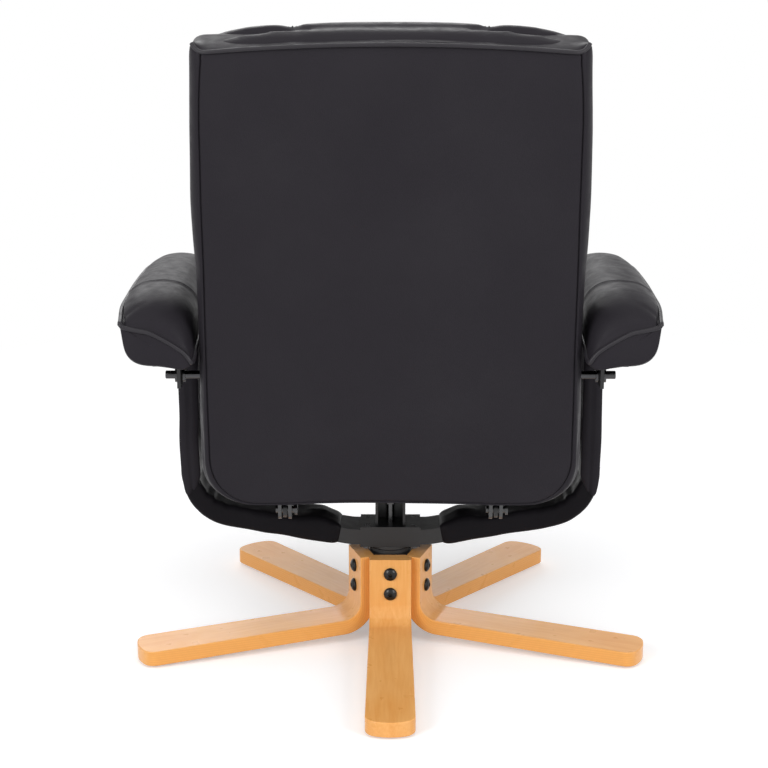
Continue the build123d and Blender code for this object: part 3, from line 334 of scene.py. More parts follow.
# Nodes that look unlike the rest of their slot
nodeLooks = {
    "dark_zinc": ("hinge_brackets", "hinge_pins", "stop_bolt", "bar_bolts", "spindle_clip", "leg_nuts",
                  "knob_studs"),
    "black_chrome": ("pivot_rods", "rod_washers"),
    "liner": ("arm_board_left", "arm_board_right"),
}
for look, parts in nodeLooks.items():
    for part in parts:
        finishes[part] = finishes[look]
finishes["webbing"] = webbingFinish()
# Leathers: strength of the creases, depth of colour, shine; the darker colour of the sleeves and the seam
# cords is painted shade
leathers = {
    "leatherette": (1.0,), "leatherSoft": (1.5,), "leatherFlat": (0.6,), "weltLeather": (0.5, 1.0, 0.24),
    "sleevePaintedShadeLeather": (1.3, 0.42), "thread": (0.2, 1.6), "seamCordPaintedShade": (0.2, 0.25),
}
for name, look in leathers.items():
    finishes[name] = leatherFinish(name, *look)
legAngles = {"leg_rear": 90, "leg_right_rear": 162, "leg_right_front": 234, "leg_left_front": 306,
             "leg_left_rear": 18}
for leg, angle in legAngles.items():
    finishes[leg] = beechFinish(leg + "_beech", angle)
print("finishes ready:", len(finishes))

# Every CAD node that stays in view takes its slot's finish
for row in frame["record"]["subparts"]:
    slot = row["material_slot"]
    chosen = finishes.get(row["node"]) or finishes.get(slot) or finishes["leatherette"]
    piece = nodes[row["node"]]
    piece.data.materials.clear()
    piece.data.materials.append(chosen)


def newPiece(name, points, faces, finish):
    mesh = bpy.data.meshes.new(name)
    mesh.from_pydata([tuple(point) for point in points], [], faces)
    tidy = bmesh.new()
    tidy.from_mesh(mesh)
    bmesh.ops.remove_doubles(tidy, verts=tidy.verts, dist=1e-6)
    bmesh.ops.recalc_face_normals(tidy, faces=tidy.faces)
    tidy.to_mesh(mesh)
    tidy.free()
    mesh.shade_smooth()
    mesh.materials.append(finish)
    return addObject(name, mesh)


made = []


def settle(piece, body, stands=()):
    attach(piece, body)
    if stands:
        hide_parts(*stands)
    made.append(piece.name)
    return piece


def ringFaces(rows, count, firstCentre, lastCentre):
    faces = []
    for row in range(rows - 1):
        for place in range(count):
            after = (place + 1) % count
            faces.append((row * count + place, row * count + after,
                          (row + 1) * count + after, (row + 1) * count + place))
    for place in range(count):
        after = (place + 1) % count
        faces.append((firstCentre, after, place))
        faces.append((lastCentre, (rows - 1) * count + place, (rows - 1) * count + after))
    return faces


def loft(name, rings, finish):
    rings = np.asarray(rings, float)
    rows, count = rings.shape[:2]
    points = list(rings.reshape(-1, 3)) + [rings[0].mean(0), rings[-1].mean(0)]
    faces = ringFaces(rows, count, len(points) - 2, len(points) - 1)
    return newPiece(name, points, faces, finish)


def reachOf(points):
    steps = np.linalg.norm(np.diff(points, axis=0), axis=1)
    return np.concatenate([[0], np.cumsum(steps)])


def evenly(points, count, closed=False):
    points = np.asarray(points, float)
    if closed:
        points = np.vstack([points, points[:1]])
    reach = reachOf(points)
    wanted = np.linspace(0, reach[-1], count + 1)[:-1] if closed else np.linspace(0, reach[-1], count)
    return np.stack([np.interp(wanted, reach, points[:, axis]) for axis in range(points.shape[1])], 1)


def curved(points, count, steps=12):
    # an even line of points on a smooth curve through the given ones
    points = np.asarray(points, float)
    line = []
    for index in range(len(points) - 1):
        start, end = points[index], points[index + 1]
        before = points[index - 1] if index else 2 * start - end
        after = points[index + 2] if index + 2 < len(points) else 2 * end - start
        for step in range(steps):
            t = step / steps
            line.append(0.5 * (2 * start + (end - before) * t
                               + (2 * before - 5 * start + 4 * end - after) * t * t
                               + (3 * start - before - 3 * end + after) * t ** 3))
    line.append(points[-1])
    return evenly(line, count)


def arcCorners(corners, steps=10):
    # a closed outline through (x, y, radius) corners
    line = []
    total = len(corners)
    for index, (x, y, radius) in enumerate(corners):
        here = np.array((x, y), float)
        back = np.array(corners[index - 1][:2], float) - here
        ahead = np.array(corners[(index + 1) % total][:2], float) - here
        back, ahead = back / np.linalg.norm(back), ahead / np.linalg.norm(ahead)
        if radius <= 0:
            line.append(here)
            continue
        half = math.acos(max(-1, min(1, float(back @ ahead)))) / 2
        cut = radius / math.tan(half)
        middle = here + (back + ahead) / np.linalg.norm(back + ahead) * radius / math.sin(half)
        start, end = here + back * cut - middle, here + ahead * cut - middle
        first = math.atan2(start[1], start[0])
        sweep = (math.atan2(end[1], end[0]) - first + math.pi) % (2 * math.pi) - math.pi
        for step in range(steps + 1):
            angle = first + sweep * step / steps
            line.append(middle + radius * np.array((math.cos(angle), math.sin(angle))))
    return np.array(line)


def upright(y, outline):
    # an outline of (x, z) points set up at a place along the part
    return np.stack([outline[:, 0], np.full(len(outline), y), outline[:, 1]], 1)


def bell(value, middle, spread):
    return np.exp(-((value - middle) / spread) ** 2)


def clipped(value):
    return np.clip(value, 0, 1)


def outwardOf(outline):
    ahead = np.roll(outline, -1, 0) - np.roll(outline, 1, 0)
    ahead /= np.linalg.norm(ahead, axis=1)[:, None]
    normal = np.stack([ahead[:, 1], -ahead[:, 0]], 1)
    if ((outline - outline.mean(0)) * normal).sum() < 0:
        normal = -normal
    return normal


def rippled(points, scale, height, seed):
    # soft unevenness: moves each point along a smooth random field
    shift = np.array([noise.noise_vector(Vector(point) * scale + Vector((seed, seed * 0.7, -seed)))
                      for point in points])
    return points + shift * height


def rippledRings(rings, sign, scale, height, seed):
    rings = np.array(rings)
    rings[:, :, 0] *= sign
    return rippled(rings.reshape(-1, 3), scale, height, seed).reshape(rings.shape)


# Geometry Nodes that turn a line of points into piping, or into a row of stitches
def join(tree, first, output, second, entry):
    tree.links.new(first.outputs[output], second.inputs[entry])


def sweptCircle(tree, source):
    circle = tree.nodes.new("GeometryNodeCurvePrimitiveCircle")
    sweep = tree.nodes.new("GeometryNodeCurveToMesh")
    sweep.inputs["Fill Caps"].default_value = True
    join(tree, source, "Radius", circle, "Radius")
    join(tree, source, "Sides", circle, "Resolution")
    join(tree, circle, "Curve", sweep, "Profile Curve")
    return sweep


def placedThreads(tree, source):
    thread = tree.nodes.new("GeometryNodeMeshCylinder")
    thread.inputs["Vertices"].default_value = 6
    tangent = tree.nodes.new("GeometryNodeInputTangent")
    aim = tree.nodes.new("FunctionNodeAlignRotationToVector")
    aim.axis = "Z"
    place = tree.nodes.new("GeometryNodeInstanceOnPoints")
    join(tree, source, "Radius", thread, "Radius")
    join(tree, source, "Length", thread, "Depth")
    join(tree, thread, "Mesh", place, "Instance")
    join(tree, tangent, 0, aim, "Vector")
    join(tree, aim, 0, place, "Rotation")
    return place


def makeTree(name, form, inputs):
    tree = bpy.data.node_groups.new(name, "GeometryNodeTree")
    for in_out in ("INPUT", "OUTPUT"):
        tree.interface.new_socket("Geometry", in_out=in_out, socket_type="NodeSocketGeometry")
    for label, value in inputs.items():
        kind = "NodeSocketInt" if isinstance(value, int) else "NodeSocketFloat"
        tree.interface.new_socket(label, in_out="INPUT", socket_type=kind).default_value = value
    tree.interface.new_socket("Finish", in_out="INPUT", socket_type="NodeSocketMaterial")
    source, end = tree.nodes.new("NodeGroupInput"), tree.nodes.new("NodeGroupOutput")
    line, resample, realize, paint = (tree.nodes.new("GeometryNode" + kind) for kind in (
        "MeshToCurve", "ResampleCurve", "RealizeInstances", "SetMaterial"))
    resample.mode = "LENGTH"
    join(tree, source, "Spacing", resample, "Length")
    join(tree, source, "Finish", paint, "Material")
    wire = source.outputs[0]
    for node in (line, resample, form(tree, source), realize, paint, end):
        tree.links.new(wire, node.inputs[0])
        wire = node.outputs[0] if node.outputs else None
    return tree


weltTree = makeTree("pipingAlongLine", sweptCircle, {"Radius": 0.003, "Spacing": 0.004, "Sides": 10})
stitchTree = makeTree("stitchesAlongLine", placedThreads, {"Spacing": 0.005, "Length": 0.0032,
                                                           "Radius": 0.0005})


def alongLines(name, tree, lines, body, finish, closed=False, **inputs):
    points, edges = [], []
    for line in lines:
        first = len(points)
        points += [tuple(point) for point in line]
        edges += [(first + step, first + step + 1) for step in range(len(line) - 1)]
        if closed:
            edges.append((len(points) - 1, first))
    mesh = bpy.data.meshes.new(name + "Line")
    mesh.from_pydata(points, edges, [])
    carrier = addObject(name + "Line", mesh)
    modifier = carrier.modifiers.new("path", "NODES")
    modifier.node_group = tree
    inputs["Finish"] = finish
    for item in tree.interface.items_tree:
        if item.in_out == "INPUT" and item.name in inputs:
            modifier[item.identifier] = inputs[item.name]
    evaluated = carrier.evaluated_get(bpy.context.evaluated_depsgraph_get())
    result = bpy.data.meshes.new_from_object(evaluated)
    bpy.data.objects.remove(carrier)
    result.name = name
    result.shade_smooth()
    return settle(addObject(name, result), body)


# How the two cushions are blown up, as cloth under pressure
blowUp = {
    "voxel": 0.006, "pressure": 3.2, "stiffness": 14, "bending": 0.4, "mass": 0.3, "quality": 4,
    "frames": 20, "cap": 0.022, "leastHold": 0.02,
}


def inflate(piece, held, smooth):
    # blows the pad up between its held seams, with the motion capped
    remesh = piece.modifiers.new("voxels", "REMESH")
    remesh.mode = "VOXEL"
    remesh.voxel_size = blowUp["voxel"]
    view = bpy.context.evaluated_depsgraph_get()
    fine = bpy.data.meshes.new_from_object(piece.evaluated_get(view))
    piece.modifiers.remove(remesh)
    finishNow = piece.data.materials[0]
    piece.data = fine
    fine.materials.clear()
    fine.materials.append(finishNow)
    start = np.empty(len(fine.vertices) * 3)
    fine.vertices.foreach_get("co", start)
    start = start.reshape(-1, 3)
    weights = held(start)
    group = piece.vertex_groups.new(name="held")
    for index in np.nonzero(weights > blowUp["leastHold"])[0]:
        group.add([int(index)], float(weights[index]), "REPLACE")
    cloth = piece.modifiers.new("blowUp", "CLOTH")
    cloth.settings.quality = blowUp["quality"]
    cloth.settings.mass = blowUp["mass"]
    cloth.settings.use_pressure = True
    cloth.settings.uniform_pressure_force = blowUp["pressure"]
    cloth.settings.effector_weights.gravity = 0
    cloth.settings.tension_stiffness = blowUp["stiffness"]
    cloth.settings.compression_stiffness = blowUp["stiffness"]
    cloth.settings.shear_stiffness = blowUp["stiffness"] / 2
    cloth.settings.bending_stiffness = blowUp["bending"]
    cloth.settings.vertex_group_mass = "held"
    cloth.collision_settings.use_collision = False
    cloth.point_cache.frame_start, cloth.point_cache.frame_end = 1, blowUp["frames"]
    for number in range(1, blowUp["frames"] + 1):
        scene.frame_set(number)
    blown = piece.evaluated_get(bpy.context.evaluated_depsgraph_get()).data
    end = np.empty(len(blown.vertices) * 3)
    blown.vertices.foreach_get("co", end)
    move = end.reshape(-1, 3) - start
    size = np.linalg.norm(move, axis=1)
    cap = blowUp["cap"]
    move *= (cap * np.tanh(size / cap) / np.maximum(size, 1e-9))[:, None]
    piece.modifiers.remove(cloth)
    piece.vertex_groups.clear()
    scene.frame_set(1)
    fine.vertices.foreach_set("co", (start + move).ravel())
    print(piece.name, "blown up by at most", round(float(size.max()) * 1000), "mm")
    work = bmesh.new()
    work.from_mesh(fine)
    for step in range(smooth):
        bmesh.ops.smooth_vert(work, verts=work.verts, factor=0.5, use_axis_x=True, use_axis_y=True,
                              use_axis_z=True)
    bmesh.ops.recalc_face_normals(work, faces=work.faces)
    work.to_mesh(fine)
    work.free()
    fine.shade_smooth()
    finer = piece.modifiers.new("finer", "SUBSURF")
    finer.levels = finer.render_levels = 1


# The back's own directions: across, up its rear face, and ahead of it
back = {
    "foot": (0, 0.17, 0.272), "tilt": 10, "length": 0.693, "shoulder": 0.681,
    "lowHalf": 0.266, "topHalf": 0.262, "lowRadius": 0.07, "topRadius": 0.014,
    "depth": 0.0686, "seam": 0.133,
}
backTilt = math.radians(back["tilt"])
backUp = np.array((0, math.sin(backTilt), math.cos(backTilt)))
backAhead = np.array((0, -math.cos(backTilt), math.sin(backTilt)))


def onBack(x, rise, depth):
    x, rise, depth = np.broadcast_arrays(*(np.asarray(value, float) for value in (x, rise, depth)))
    return (np.array(back["foot"]) + np.multiply.outer(x, (1, 0, 0))
            + np.multiply.outer(rise, backUp) + np.multiply.outer(depth, backAhead))


def topAt(share):
    # the top edge's height at a share of its half width
    return back["length"] - (back["length"] - back["shoulder"]) * share * share


def topLine(half):
    return [(half * share, topAt(share), 0) for share in (0.75, 0.5, 0.25, 0, -0.25, -0.5, -0.75)]


def backOutline(count):
    half, rise = back["topHalf"], back["shoulder"]
    corners = [(-back["lowHalf"], 0, back["lowRadius"]), (back["lowHalf"], 0, back["lowRadius"]),
               (half, rise, back["topRadius"]), *topLine(half), (-half, rise, back["topRadius"])]
    return evenly(arcCorners(corners), count, True)


# Leather over the back's board and boxing: a panel, a sunk seam and a soft side band with a pinched ear
backCover = {
    "count": 480, "panelCrown": 0.0024, "seamInset": 0.0058, "cornerInset": 0.006, "topInset": 0.0045,
    "footInset": 0.002, "footSag": 0.004, "footSagReach": 0.147, "foot": -0.008, "footHalf": 0.2738,
    "footRadius": 0.052, "topHalf": 0.2705, "topRise": 0.684, "topRadius": 0.004,
    # how far out and how deep each line of the seam lies
    "seam": [(0.0, 0.0002), (0.001, 0.001), (0.0016, 0.0034), (0.0024, 0.0038), (0.0032, 0.0014),
             (0.0045, 0.0006)],
    # rise and half width of the side band
    "sides": [(0.075, 0.2738), (0.13, 0.2745), (0.2, 0.2726), (0.28, 0.272), (0.35, 0.2726),
              (0.4, 0.2752), (0.46, 0.2765), (0.56, 0.2745), (0.64, 0.2712)],
    "topLean": 0.0085, "leanReach": 0.05, "ripple": 0.001,
    "earPlace": (0.268, 0.681), "earSpread": 0.01, "earRise": 0.0105, "earOut": 0.0015,
    "earDepth": 0.016, "earReach": 0.016, "foldHeight": 0.0018, "foldWaves": 15, "foldPlace": 0.06,
    "foldReach": 0.1, "foldFrom": 0.15,
    # the band's front edge: short of the boxing's depth, then turned in over it
    "bandShort": 0.002, "turnedIn": 0.014, "turnedShort": 0.0012,
}


def backOuter(count):
    low, foot, radius, half, rise, top = (backCover[key] for key in (
        "footHalf", "foot", "footRadius", "topHalf", "topRise", "topRadius"))
    sides = backCover["sides"]
    corners = [(-low, foot, radius), (low, foot, radius), *[(wide, up, 0) for up, wide in sides],
               (half, rise, top), *topLine(half), (-half, rise, top),
               *[(-wide, up, 0) for up, wide in reversed(sides)]]
    line = evenly(arcCorners(corners), count, True)
    return sum(np.roll(line, shift, 0) for shift in range(-3, 4)) / 7


def matched(outline, other):
    # the other outline's points in the same directions from the back's middle
    middle = np.array((0.0, back["length"] / 2))
    turn = np.unwrap(np.arctan2(*(other - middle).T[::-1]))
    line = np.vstack([other, other, other])
    full = np.concatenate([turn - 2 * math.pi, turn, turn + 2 * math.pi])
    if full[0] > full[-1]:
        full, line = full[::-1], line[::-1]
    wanted = np.unwrap(np.arctan2(*(outline - middle).T[::-1]))
    wanted = (wanted - turn.min()) % (2 * math.pi) + turn.min()
    order = np.argsort(full)
    return np.stack([np.interp(wanted, full[order], line[order][:, axis]) for axis in (0, 1)], 1)


def leanOf(ring):
    # how far the panel leans forward towards its top edge
    share = clipped((ring[:, 1] - back["length"] + backCover["leanReach"]) / backCover["leanReach"])
    return share ** 2 * backCover["topLean"]


def makeBackCover():
    outline = backOutline(backCover["count"])
    normal = outwardOf(outline)
    outer = matched(outline, backOuter(backCover["count"]))
    middle = np.array((0.0, back["length"] / 2))
    corner = clipped((outline[:, 1] / back["length"] - 0.8) / 0.18) ** 2
    topEdge, foot = clipped(normal[:, 1]) ** 2, clipped(-normal[:, 1]) ** 2
    inset = (backCover["seamInset"] + backCover["cornerInset"] * corner) * (1 - topEdge - foot)
    inset += backCover["topInset"] * topEdge
    sag = backCover["footSag"] * clipped(np.abs(outline[:, 0]) / backCover["footSagReach"]) ** 2
    inset += (backCover["footInset"] - sag) * foot
    seam = outline - normal * inset[:, None]
    rings = []
    for share in np.linspace(0.02, 0.992, 46) ** 0.8:
        ring = middle + (seam - middle) * share
        rings.append((ring, -backCover["panelCrown"] * (1 - share ** 3) + leanOf(ring)))
    lean = leanOf(seam)
    for step, depth in backCover["seam"]:
        rings.append((seam + normal * step, depth + lean))
    lastStep, lastDepth = backCover["seam"][-1]
    start = seam + normal * lastStep
    earX, earRise = backCover["earPlace"]
    gap = np.hypot(np.abs(outer[:, 0]) - earX, outer[:, 1] - earRise)
    pinch = bell(gap, 0, backCover["earSpread"])
    folded = clipped(1 - np.abs(outer[:, 1] - backCover["foldPlace"]) / backCover["foldReach"])
    folded = folded * (np.abs(outer[:, 0]) > backCover["foldFrom"])
    for share in np.linspace(0.06, 1, 22):
        depth = share ** 1.35 * (back["depth"] - backCover["bandShort"])
        out = start + (outer - start) * (math.sin(min(share * 1.9, 1) * math.pi / 2))
        ear = pinch * bell(depth, backCover["earDepth"], backCover["earReach"])
        out = out + np.stack([np.sign(out[:, 0]) * ear * backCover["earOut"], ear * backCover["earRise"]], 1)
        fold = folded * backCover["foldHeight"] * math.sin(share * backCover["foldWaves"])
        rings.append((out + normal * fold[:, None], lastDepth + depth + lean * (1 - share)))
    rings.append((outer - normal * backCover["turnedIn"], back["depth"] - backCover["turnedShort"]))
    points = [onBack(ring[:, 0], ring[:, 1], depth) for ring, depth in rings]
    points = rippledRings(points, 1, 9, backCover["ripple"], 3.1)
    settle(loft("backCover", points, finishes["leatherFlat"]), "backrest",
           stands=("back_panel", "back_boxing"))


makeBackCover()
print("back cover made")

# Three upright channels of the back cushion, and the roll over its top
backPad = {
    "rows": [(0.02, 0.246, 0.45), (0.05, 0.258, 0.66), (0.09, 0.264, 0.8), (0.2, 0.268, 0.95),
             (0.3, 0.27, 0.98), (0.42, 0.271, 0.9), (0.54, 0.269, 0.9), (0.6, 0.267, 0.9),
             (0.645, 0.265, 0.82), (0.666, 0.264, 0.7), (0.68, 0.263, 0.54)],
    "rear": 0.069, "depth": 0.089, "seamDip": 0.026, "sideDip": 0.034,
    # the domed roll over the top
    "rollLow": 0.6835, "rollHeight": 0.014, "rollRear": 0.0115, "rollFront": 0.104, "rollHalf": 0.263,
    "rollAngles": (0, 14, 28, 42, 56, 70, 82), "rollPower": 0.7, "rollDip": 0.018,
    "notch": 0.0075, "notchWidth": 0.005, "bow": 0.003, "droop": 0.024, "droopFrom": 0.6,
    # room left for the blow-up, at the sides, over the face and at the roll's sides
    "sideRoom": 0.004, "faceRoom": 0.004, "rollRoom": 0.002, "rollNarrower": 0.006,
    "heldSeam": 0.007, "heldRear": 0.01, "heldFade": 0.008, "smooth": 4, "fill": 0.7,
}


def channelRing(half, low, top, seam, seamDip, sideDip, edge=0.01, count=96):
    # closed section: flat underside, upright sides, three crowned channels
    across = np.linspace(-half, half, count)
    crown = np.empty(count)
    edges = (-half, -seam, seam, half)
    for index, x in enumerate(across):
        for left, right in zip(edges, edges[1:]):
            if left <= x <= right:
                u = abs((x - (left + right) / 2) / ((right - left) / 2))
                leftDip = sideDip if left == -half else seamDip
                rightDip = sideDip if right == half else seamDip
                dip = leftDip if x < (left + right) / 2 else rightDip
                crown[index] = top - dip * (1 - (1 - min(u, 1) ** 2.3) ** 0.55)
    upper = np.stack([across, crown], 1)
    radius = min(edge, (crown[0] - low) / 3)
    sides = [(half, crown[-1] - radius), (half, low + radius), (half - radius, low)]
    lower = [(-half + radius, low), (-half, low + radius), (-half, crown[0] - radius)]
    flat = [(x, low) for x in np.linspace(half - 2 * radius, -half + 2 * radius, 40)]
    return np.array(list(upper) + sides + flat + lower)


def drooped(x, rise, half):
    # the cushion's top comes down towards its two ends
    share = clipped((rise - backPad["droopFrom"]) / (backPad["rollLow"] - backPad["droopFrom"]))
    return rise - backPad["droop"] * np.abs(x / half) ** 4.2 * share * share * (3 - 2 * share)


def makeBackPad():
    rings = []
    for rise, half, share in backPad["rows"]:
        top = backPad["rear"] + backPad["depth"] * share
        dips = backPad["seamDip"], backPad["sideDip"]
        ring = channelRing(half - backPad["sideRoom"], backPad["rear"], top - backPad["faceRoom"],
                           back["seam"], *dips)
        rings.append(onBack(ring[:, 0], drooped(ring[:, 0], rise, half), ring[:, 1]))
    low, height, rear, front = (backPad[key] for key in ("rollLow", "rollHeight", "rollRear", "rollFront"))
    for angle in np.radians(backPad["rollAngles"]):
        t, close = math.sin(angle), math.cos(angle) ** backPad["rollPower"]
        middle, reach, dip = (rear + front) / 2, (front - rear) / 2 * close, backPad["rollDip"] * close
        half = backPad["rollHalf"] - backPad["rollNarrower"] * t ** 3
        ring = channelRing(half - backPad["rollRoom"], middle - reach, middle + reach - backPad["faceRoom"],
                           back["seam"], dip, dip)
        x = ring[:, 0]
        notch = backPad["notch"] * bell(abs(x), back["seam"], backPad["notchWidth"])
        rise = drooped(x, low + height * t, half) + (backPad["bow"] - notch) * t
        rings.append(onBack(x, rise, ring[:, 1]))
    pad = loft("backCushion", rings, finishes["leatherSoft"])

    def held(points):
        local = points - np.array(back["foot"])
        x, depth = local[:, 0], local @ backAhead
        onSeam = bell(abs(x), back["seam"], backPad["heldSeam"])
        onRear = clipped((backPad["rear"] + backPad["heldRear"] - depth) / backPad["heldFade"])
        return clipped(np.maximum(onSeam, onRear))

    inflate(pad, held, backPad["smooth"])
    return settle(pad, "backrest", ("back_cushion",))


def onSkin(piece, origins, aims, lift):
    # where rays from inside a pad come out, raised or sunk along its skin
    skin = BVHTree.FromObject(piece, bpy.context.evaluated_depsgraph_get())
    hits = [skin.ray_cast(Vector(origin), Vector(aim)) for origin, aim in zip(origins, aims)]
    return [np.array(hit[0]) + np.array(hit[1]) * lift for hit in hits if hit[0] is not None]


# A cord in each valley between the channels, with a row of stitches on both sides; the cord's leather is
# painted at a quarter of the leather's colour, as painted shade in the seam's groove
sewing = {"cord": 0.0011, "sides": 6, "beside": 0.0052, "lift": 0.0004}


def sew(name, pad, body, seam, count, raysAt):
    cords, rows = [], []
    for x in (-seam, seam):
        for shift in (-sewing["beside"], 0, sewing["beside"]):
            line = onSkin(pad, *raysAt(x + shift), 0.0 if shift else sewing["lift"])
            (rows if shift else cords).append(evenly(line, count))
    # the cords' leather is painted four times darker than the rest: painted shade along the seams' grooves
    alongLines(name + "Seams", weltTree, cords, body, finishes["seamCordPaintedShade"],
               Radius=sewing["cord"], Sides=sewing["sides"])
    alongLines(name + "Stitches", stitchTree, rows, body, finishes["thread"])


# The back cushion's sewn lines run up its front and over the roll
backSeams = {"low": 0.03, "high": 0.64, "inside": 0.072, "rays": 90, "turns": (4, 158, 26), "count": 260}


def backRays(x):
    origins = list(onBack(x, np.linspace(backSeams["low"], backSeams["high"], backSeams["rays"]),
                          backSeams["inside"]))
    aims = [backAhead] * len(origins)
    middle = onBack(x, backSeams["high"], backSeams["inside"])
    for angle in np.radians(np.linspace(*backSeams["turns"])):
        origins.append(middle)
        aims.append(backAhead * math.cos(angle) + backUp * math.sin(angle))
    return origins, aims


sew("backCushion", makeBackPad(), "backrest", back["seam"], backSeams["count"], backRays)
print("back cushion made")

# Seat cushion: the same channels running forward, and a nose that rolls down
seat = {
    "rows": [(0.03, 0.246, 0.7), (0.01, 0.252, 0.82), (-0.02, 0.254, 0.88), (-0.12, 0.256, 0.93),
             (-0.24, 0.257, 0.96), (-0.33, 0.257, 0.97), (-0.36, 0.256, 0.95)],
    "nose": [(-0.376, 0.254, 0.93, 0.256), (-0.388, 0.251, 0.84, 0.258), (-0.396, 0.246, 0.66, 0.264)],
    "low": 0.2926, "height": 0.1596, "edge": 0.003, "seam": 0.133, "seamDip": 0.024, "sideDip": 0.038,
    "sideRoom": 0.002, "faceRoom": 0.004, "heldSeam": 0.007, "heldAbove": 0.05, "heldBase": 0.012,
    "heldFade": 0.008, "smooth": 2, "fill": 0.7,
}


def makeSeatPad():
    rings = []
    stations = [(y, half, share, seat["low"]) for y, half, share in seat["rows"]] + seat["nose"]
    for y, half, share, low in stations:
        top = seat["low"] + seat["height"] * share
        dips = seat["seamDip"], seat["sideDip"]
        ring = channelRing(half - seat["sideRoom"], low, top - seat["faceRoom"], seat["seam"], *dips,
                           seat["edge"])
        rings.append(upright(y, ring))
    pad = loft("seatCushion", rings, finishes["leatherSoft"])

    def held(points):
        x, z = points[:, 0], points[:, 2]
        onSeam = bell(abs(x), seat["seam"], seat["heldSeam"])
        onSeam *= z > seat["low"] + seat["heldAbove"]
        onBase = clipped((seat["low"] + seat["heldBase"] - z) / seat["heldFade"])
        return clipped(np.maximum(onSeam, onBase))

    inflate(pad, held, seat["smooth"])
    return settle(pad, "seat", ("seat_cushion",))


# Its sewn lines, and the piping between the cushion and the border below it
seatSeams = {
    "rear": 0.025, "front": -0.355, "inside": 0.335, "rays": 60, "turns": (86, 12, 22), "count": 200,
    "weltHalf": 0.256, "weltFront": -0.3705, "weltRear": 0.03, "weltHeight": 0.294, "weltRadius": 0.0034,
    "frontRadius": 0.02, "rearRadius": 0.004,
}


def seatRays(x):
    ahead = np.linspace(seatSeams["rear"], seatSeams["front"], seatSeams["rays"])
    origins = [(x, y, seatSeams["inside"]) for y in ahead]
    aims = [(0, 0, 1)] * len(origins)
    for angle in np.radians(np.linspace(*seatSeams["turns"])):
        origins.append((x, seatSeams["front"], seatSeams["inside"]))
        aims.append((0, -math.cos(angle), math.sin(angle)))
    return origins, aims


def makeSeatPiping():
    half, front, rear = (seatSeams[key] for key in ("weltHalf", "weltFront", "weltRear"))
    frontRadius, rearRadius = seatSeams["frontRadius"], seatSeams["rearRadius"]
    corners = [(-half, front, frontRadius), (half, front, frontRadius), (half, rear, rearRadius),
               (-half, rear, rearRadius)]
    line = [(x, y, seatSeams["weltHeight"]) for x, y in evenly(arcCorners(corners), 300, True)]
    alongLines("seatPiping", weltTree, [line], "seat", finishes["weltLeather"], closed=True,
               Radius=seatSeams["weltRadius"])


sew("seatCushion", makeSeatPad(), "seat", seat["seam"], seatSeams["count"], seatRays)
makeSeatPiping()
print("seat cushion made")

sides = (("Left", 1), ("Right", -1))

# Arms: a top cover that rolls down to piping, over a side band
arm = {
    "inner": 0.275, "width": 0.109, "low": 0.488, "height": 0.098, "rear": 0.228, "length": 0.45,
    # station, width, piped edge, crown, inner edge, as shares
    "sections": [(0.0, 0.945, 0.684, 0.9, 0.1), (0.06, 0.972, 0.699, 0.95, 0.22),
                 (0.13, 0.993, 0.713, 0.97, 0.26), (0.2, 0.998, 0.726, 0.99, 0.29),
                 (0.28, 0.984, 0.737, 1.0, 0.31), (0.46, 0.955, 0.745, 1.0, 0.32),
                 (0.64, 0.905, 0.74, 0.98, 0.31), (0.73, 0.87, 0.72, 0.94, 0.3),
                 (0.82, 0.83, 0.66, 0.87, 0.28), (0.94, 0.74, 0.52, 0.71, 0.22),
                 (1.0, 0.66, 0.42, 0.56, 0.16)],
    "rearLine": [(0.3795, 0.5545), (0.374, 0.549), (0.3515, 0.544), (0.3363, 0.5405), (0.3124, 0.5275),
                 (0.2913, 0.513), (0.28, 0.4985)],
    # the side band from the foot to the piping, as shares of its width and height: rear end, then middle
    "bandRear": [(0, 0), (0.153, 0.038), (0.283, 0.075), (0.531, 0.095), (0.699, 0.142), (0.837, 0.248),
                 (0.933, 0.438), (0.982, 0.79), (1, 1)],
    "bandMiddle": [(0, 0), (0.25, 0.0), (0.47, 0.004), (0.64, 0.022), (0.78, 0.075), (0.89, 0.19),
                   (0.96, 0.39), (0.99, 0.72), (1, 1)],
    "footPlace": 0.3, "rollShare": 0.2, "rollPower": 2.3, "crossSeam": 0.094,
    # depth, place and spread of the groove beside the piping, and of the crease at the rear
    "groove": (0.003, 0.0048, 0.0022), "crease": (0.0018, 0.21, 0.005), "creaseSlant": 0.55,
    "creaseReach": 0.045,
    # the cross seam: cut, the ridge beside it, and the stations close to it
    "seamCut": (0.0024, 0.0016), "seamRidge": (0.001, 0.004, 0.0022),
    "seamSteps": (0.0009, 0.0018, 0.003, 0.0042, 0.006), "seamClear": 0.0075,
    # the cover's section: shares of the width, and of the way up to the crown or down from it
    "rising": [(0.05, 0.42), (0.22, 0.86)], "falling": [(0.76, 0.1), (0.94, 0.42)], "crownPlace": 0.5,
    # domed ends: share of the end's section, and how far out it lies
    "rearCaps": [(0.3, 0.0034), (0.6, 0.0034), (0.82, 0.0032), (0.91, 0.0027), (0.96, 0.002),
                 (0.988, 0.001)],
    "frontCaps": [(0.985, 0.004), (0.94, 0.009), (0.84, 0.014), (0.66, 0.018), (0.4, 0.02),
                  (0.15, 0.021)],
    "welt": 0.0033, "stations": 84, "topPoints": 64, "bandPoints": 30, "basePoints": 10, "ripple": 0.0013,
    "fill": 0.75,
}


def armStations():
    seam = (arm["rear"] - arm["crossSeam"]) / arm["length"]
    steps = np.array(arm["seamSteps"])
    steps = np.concatenate([-steps[::-1], [0], steps])
    even = np.linspace(0, 1, arm["stations"]) ** 1.15
    even = even[np.abs(even - seam) * arm["length"] > arm["seamClear"]]
    return np.sort(np.concatenate([even, seam + steps / arm["length"]]))


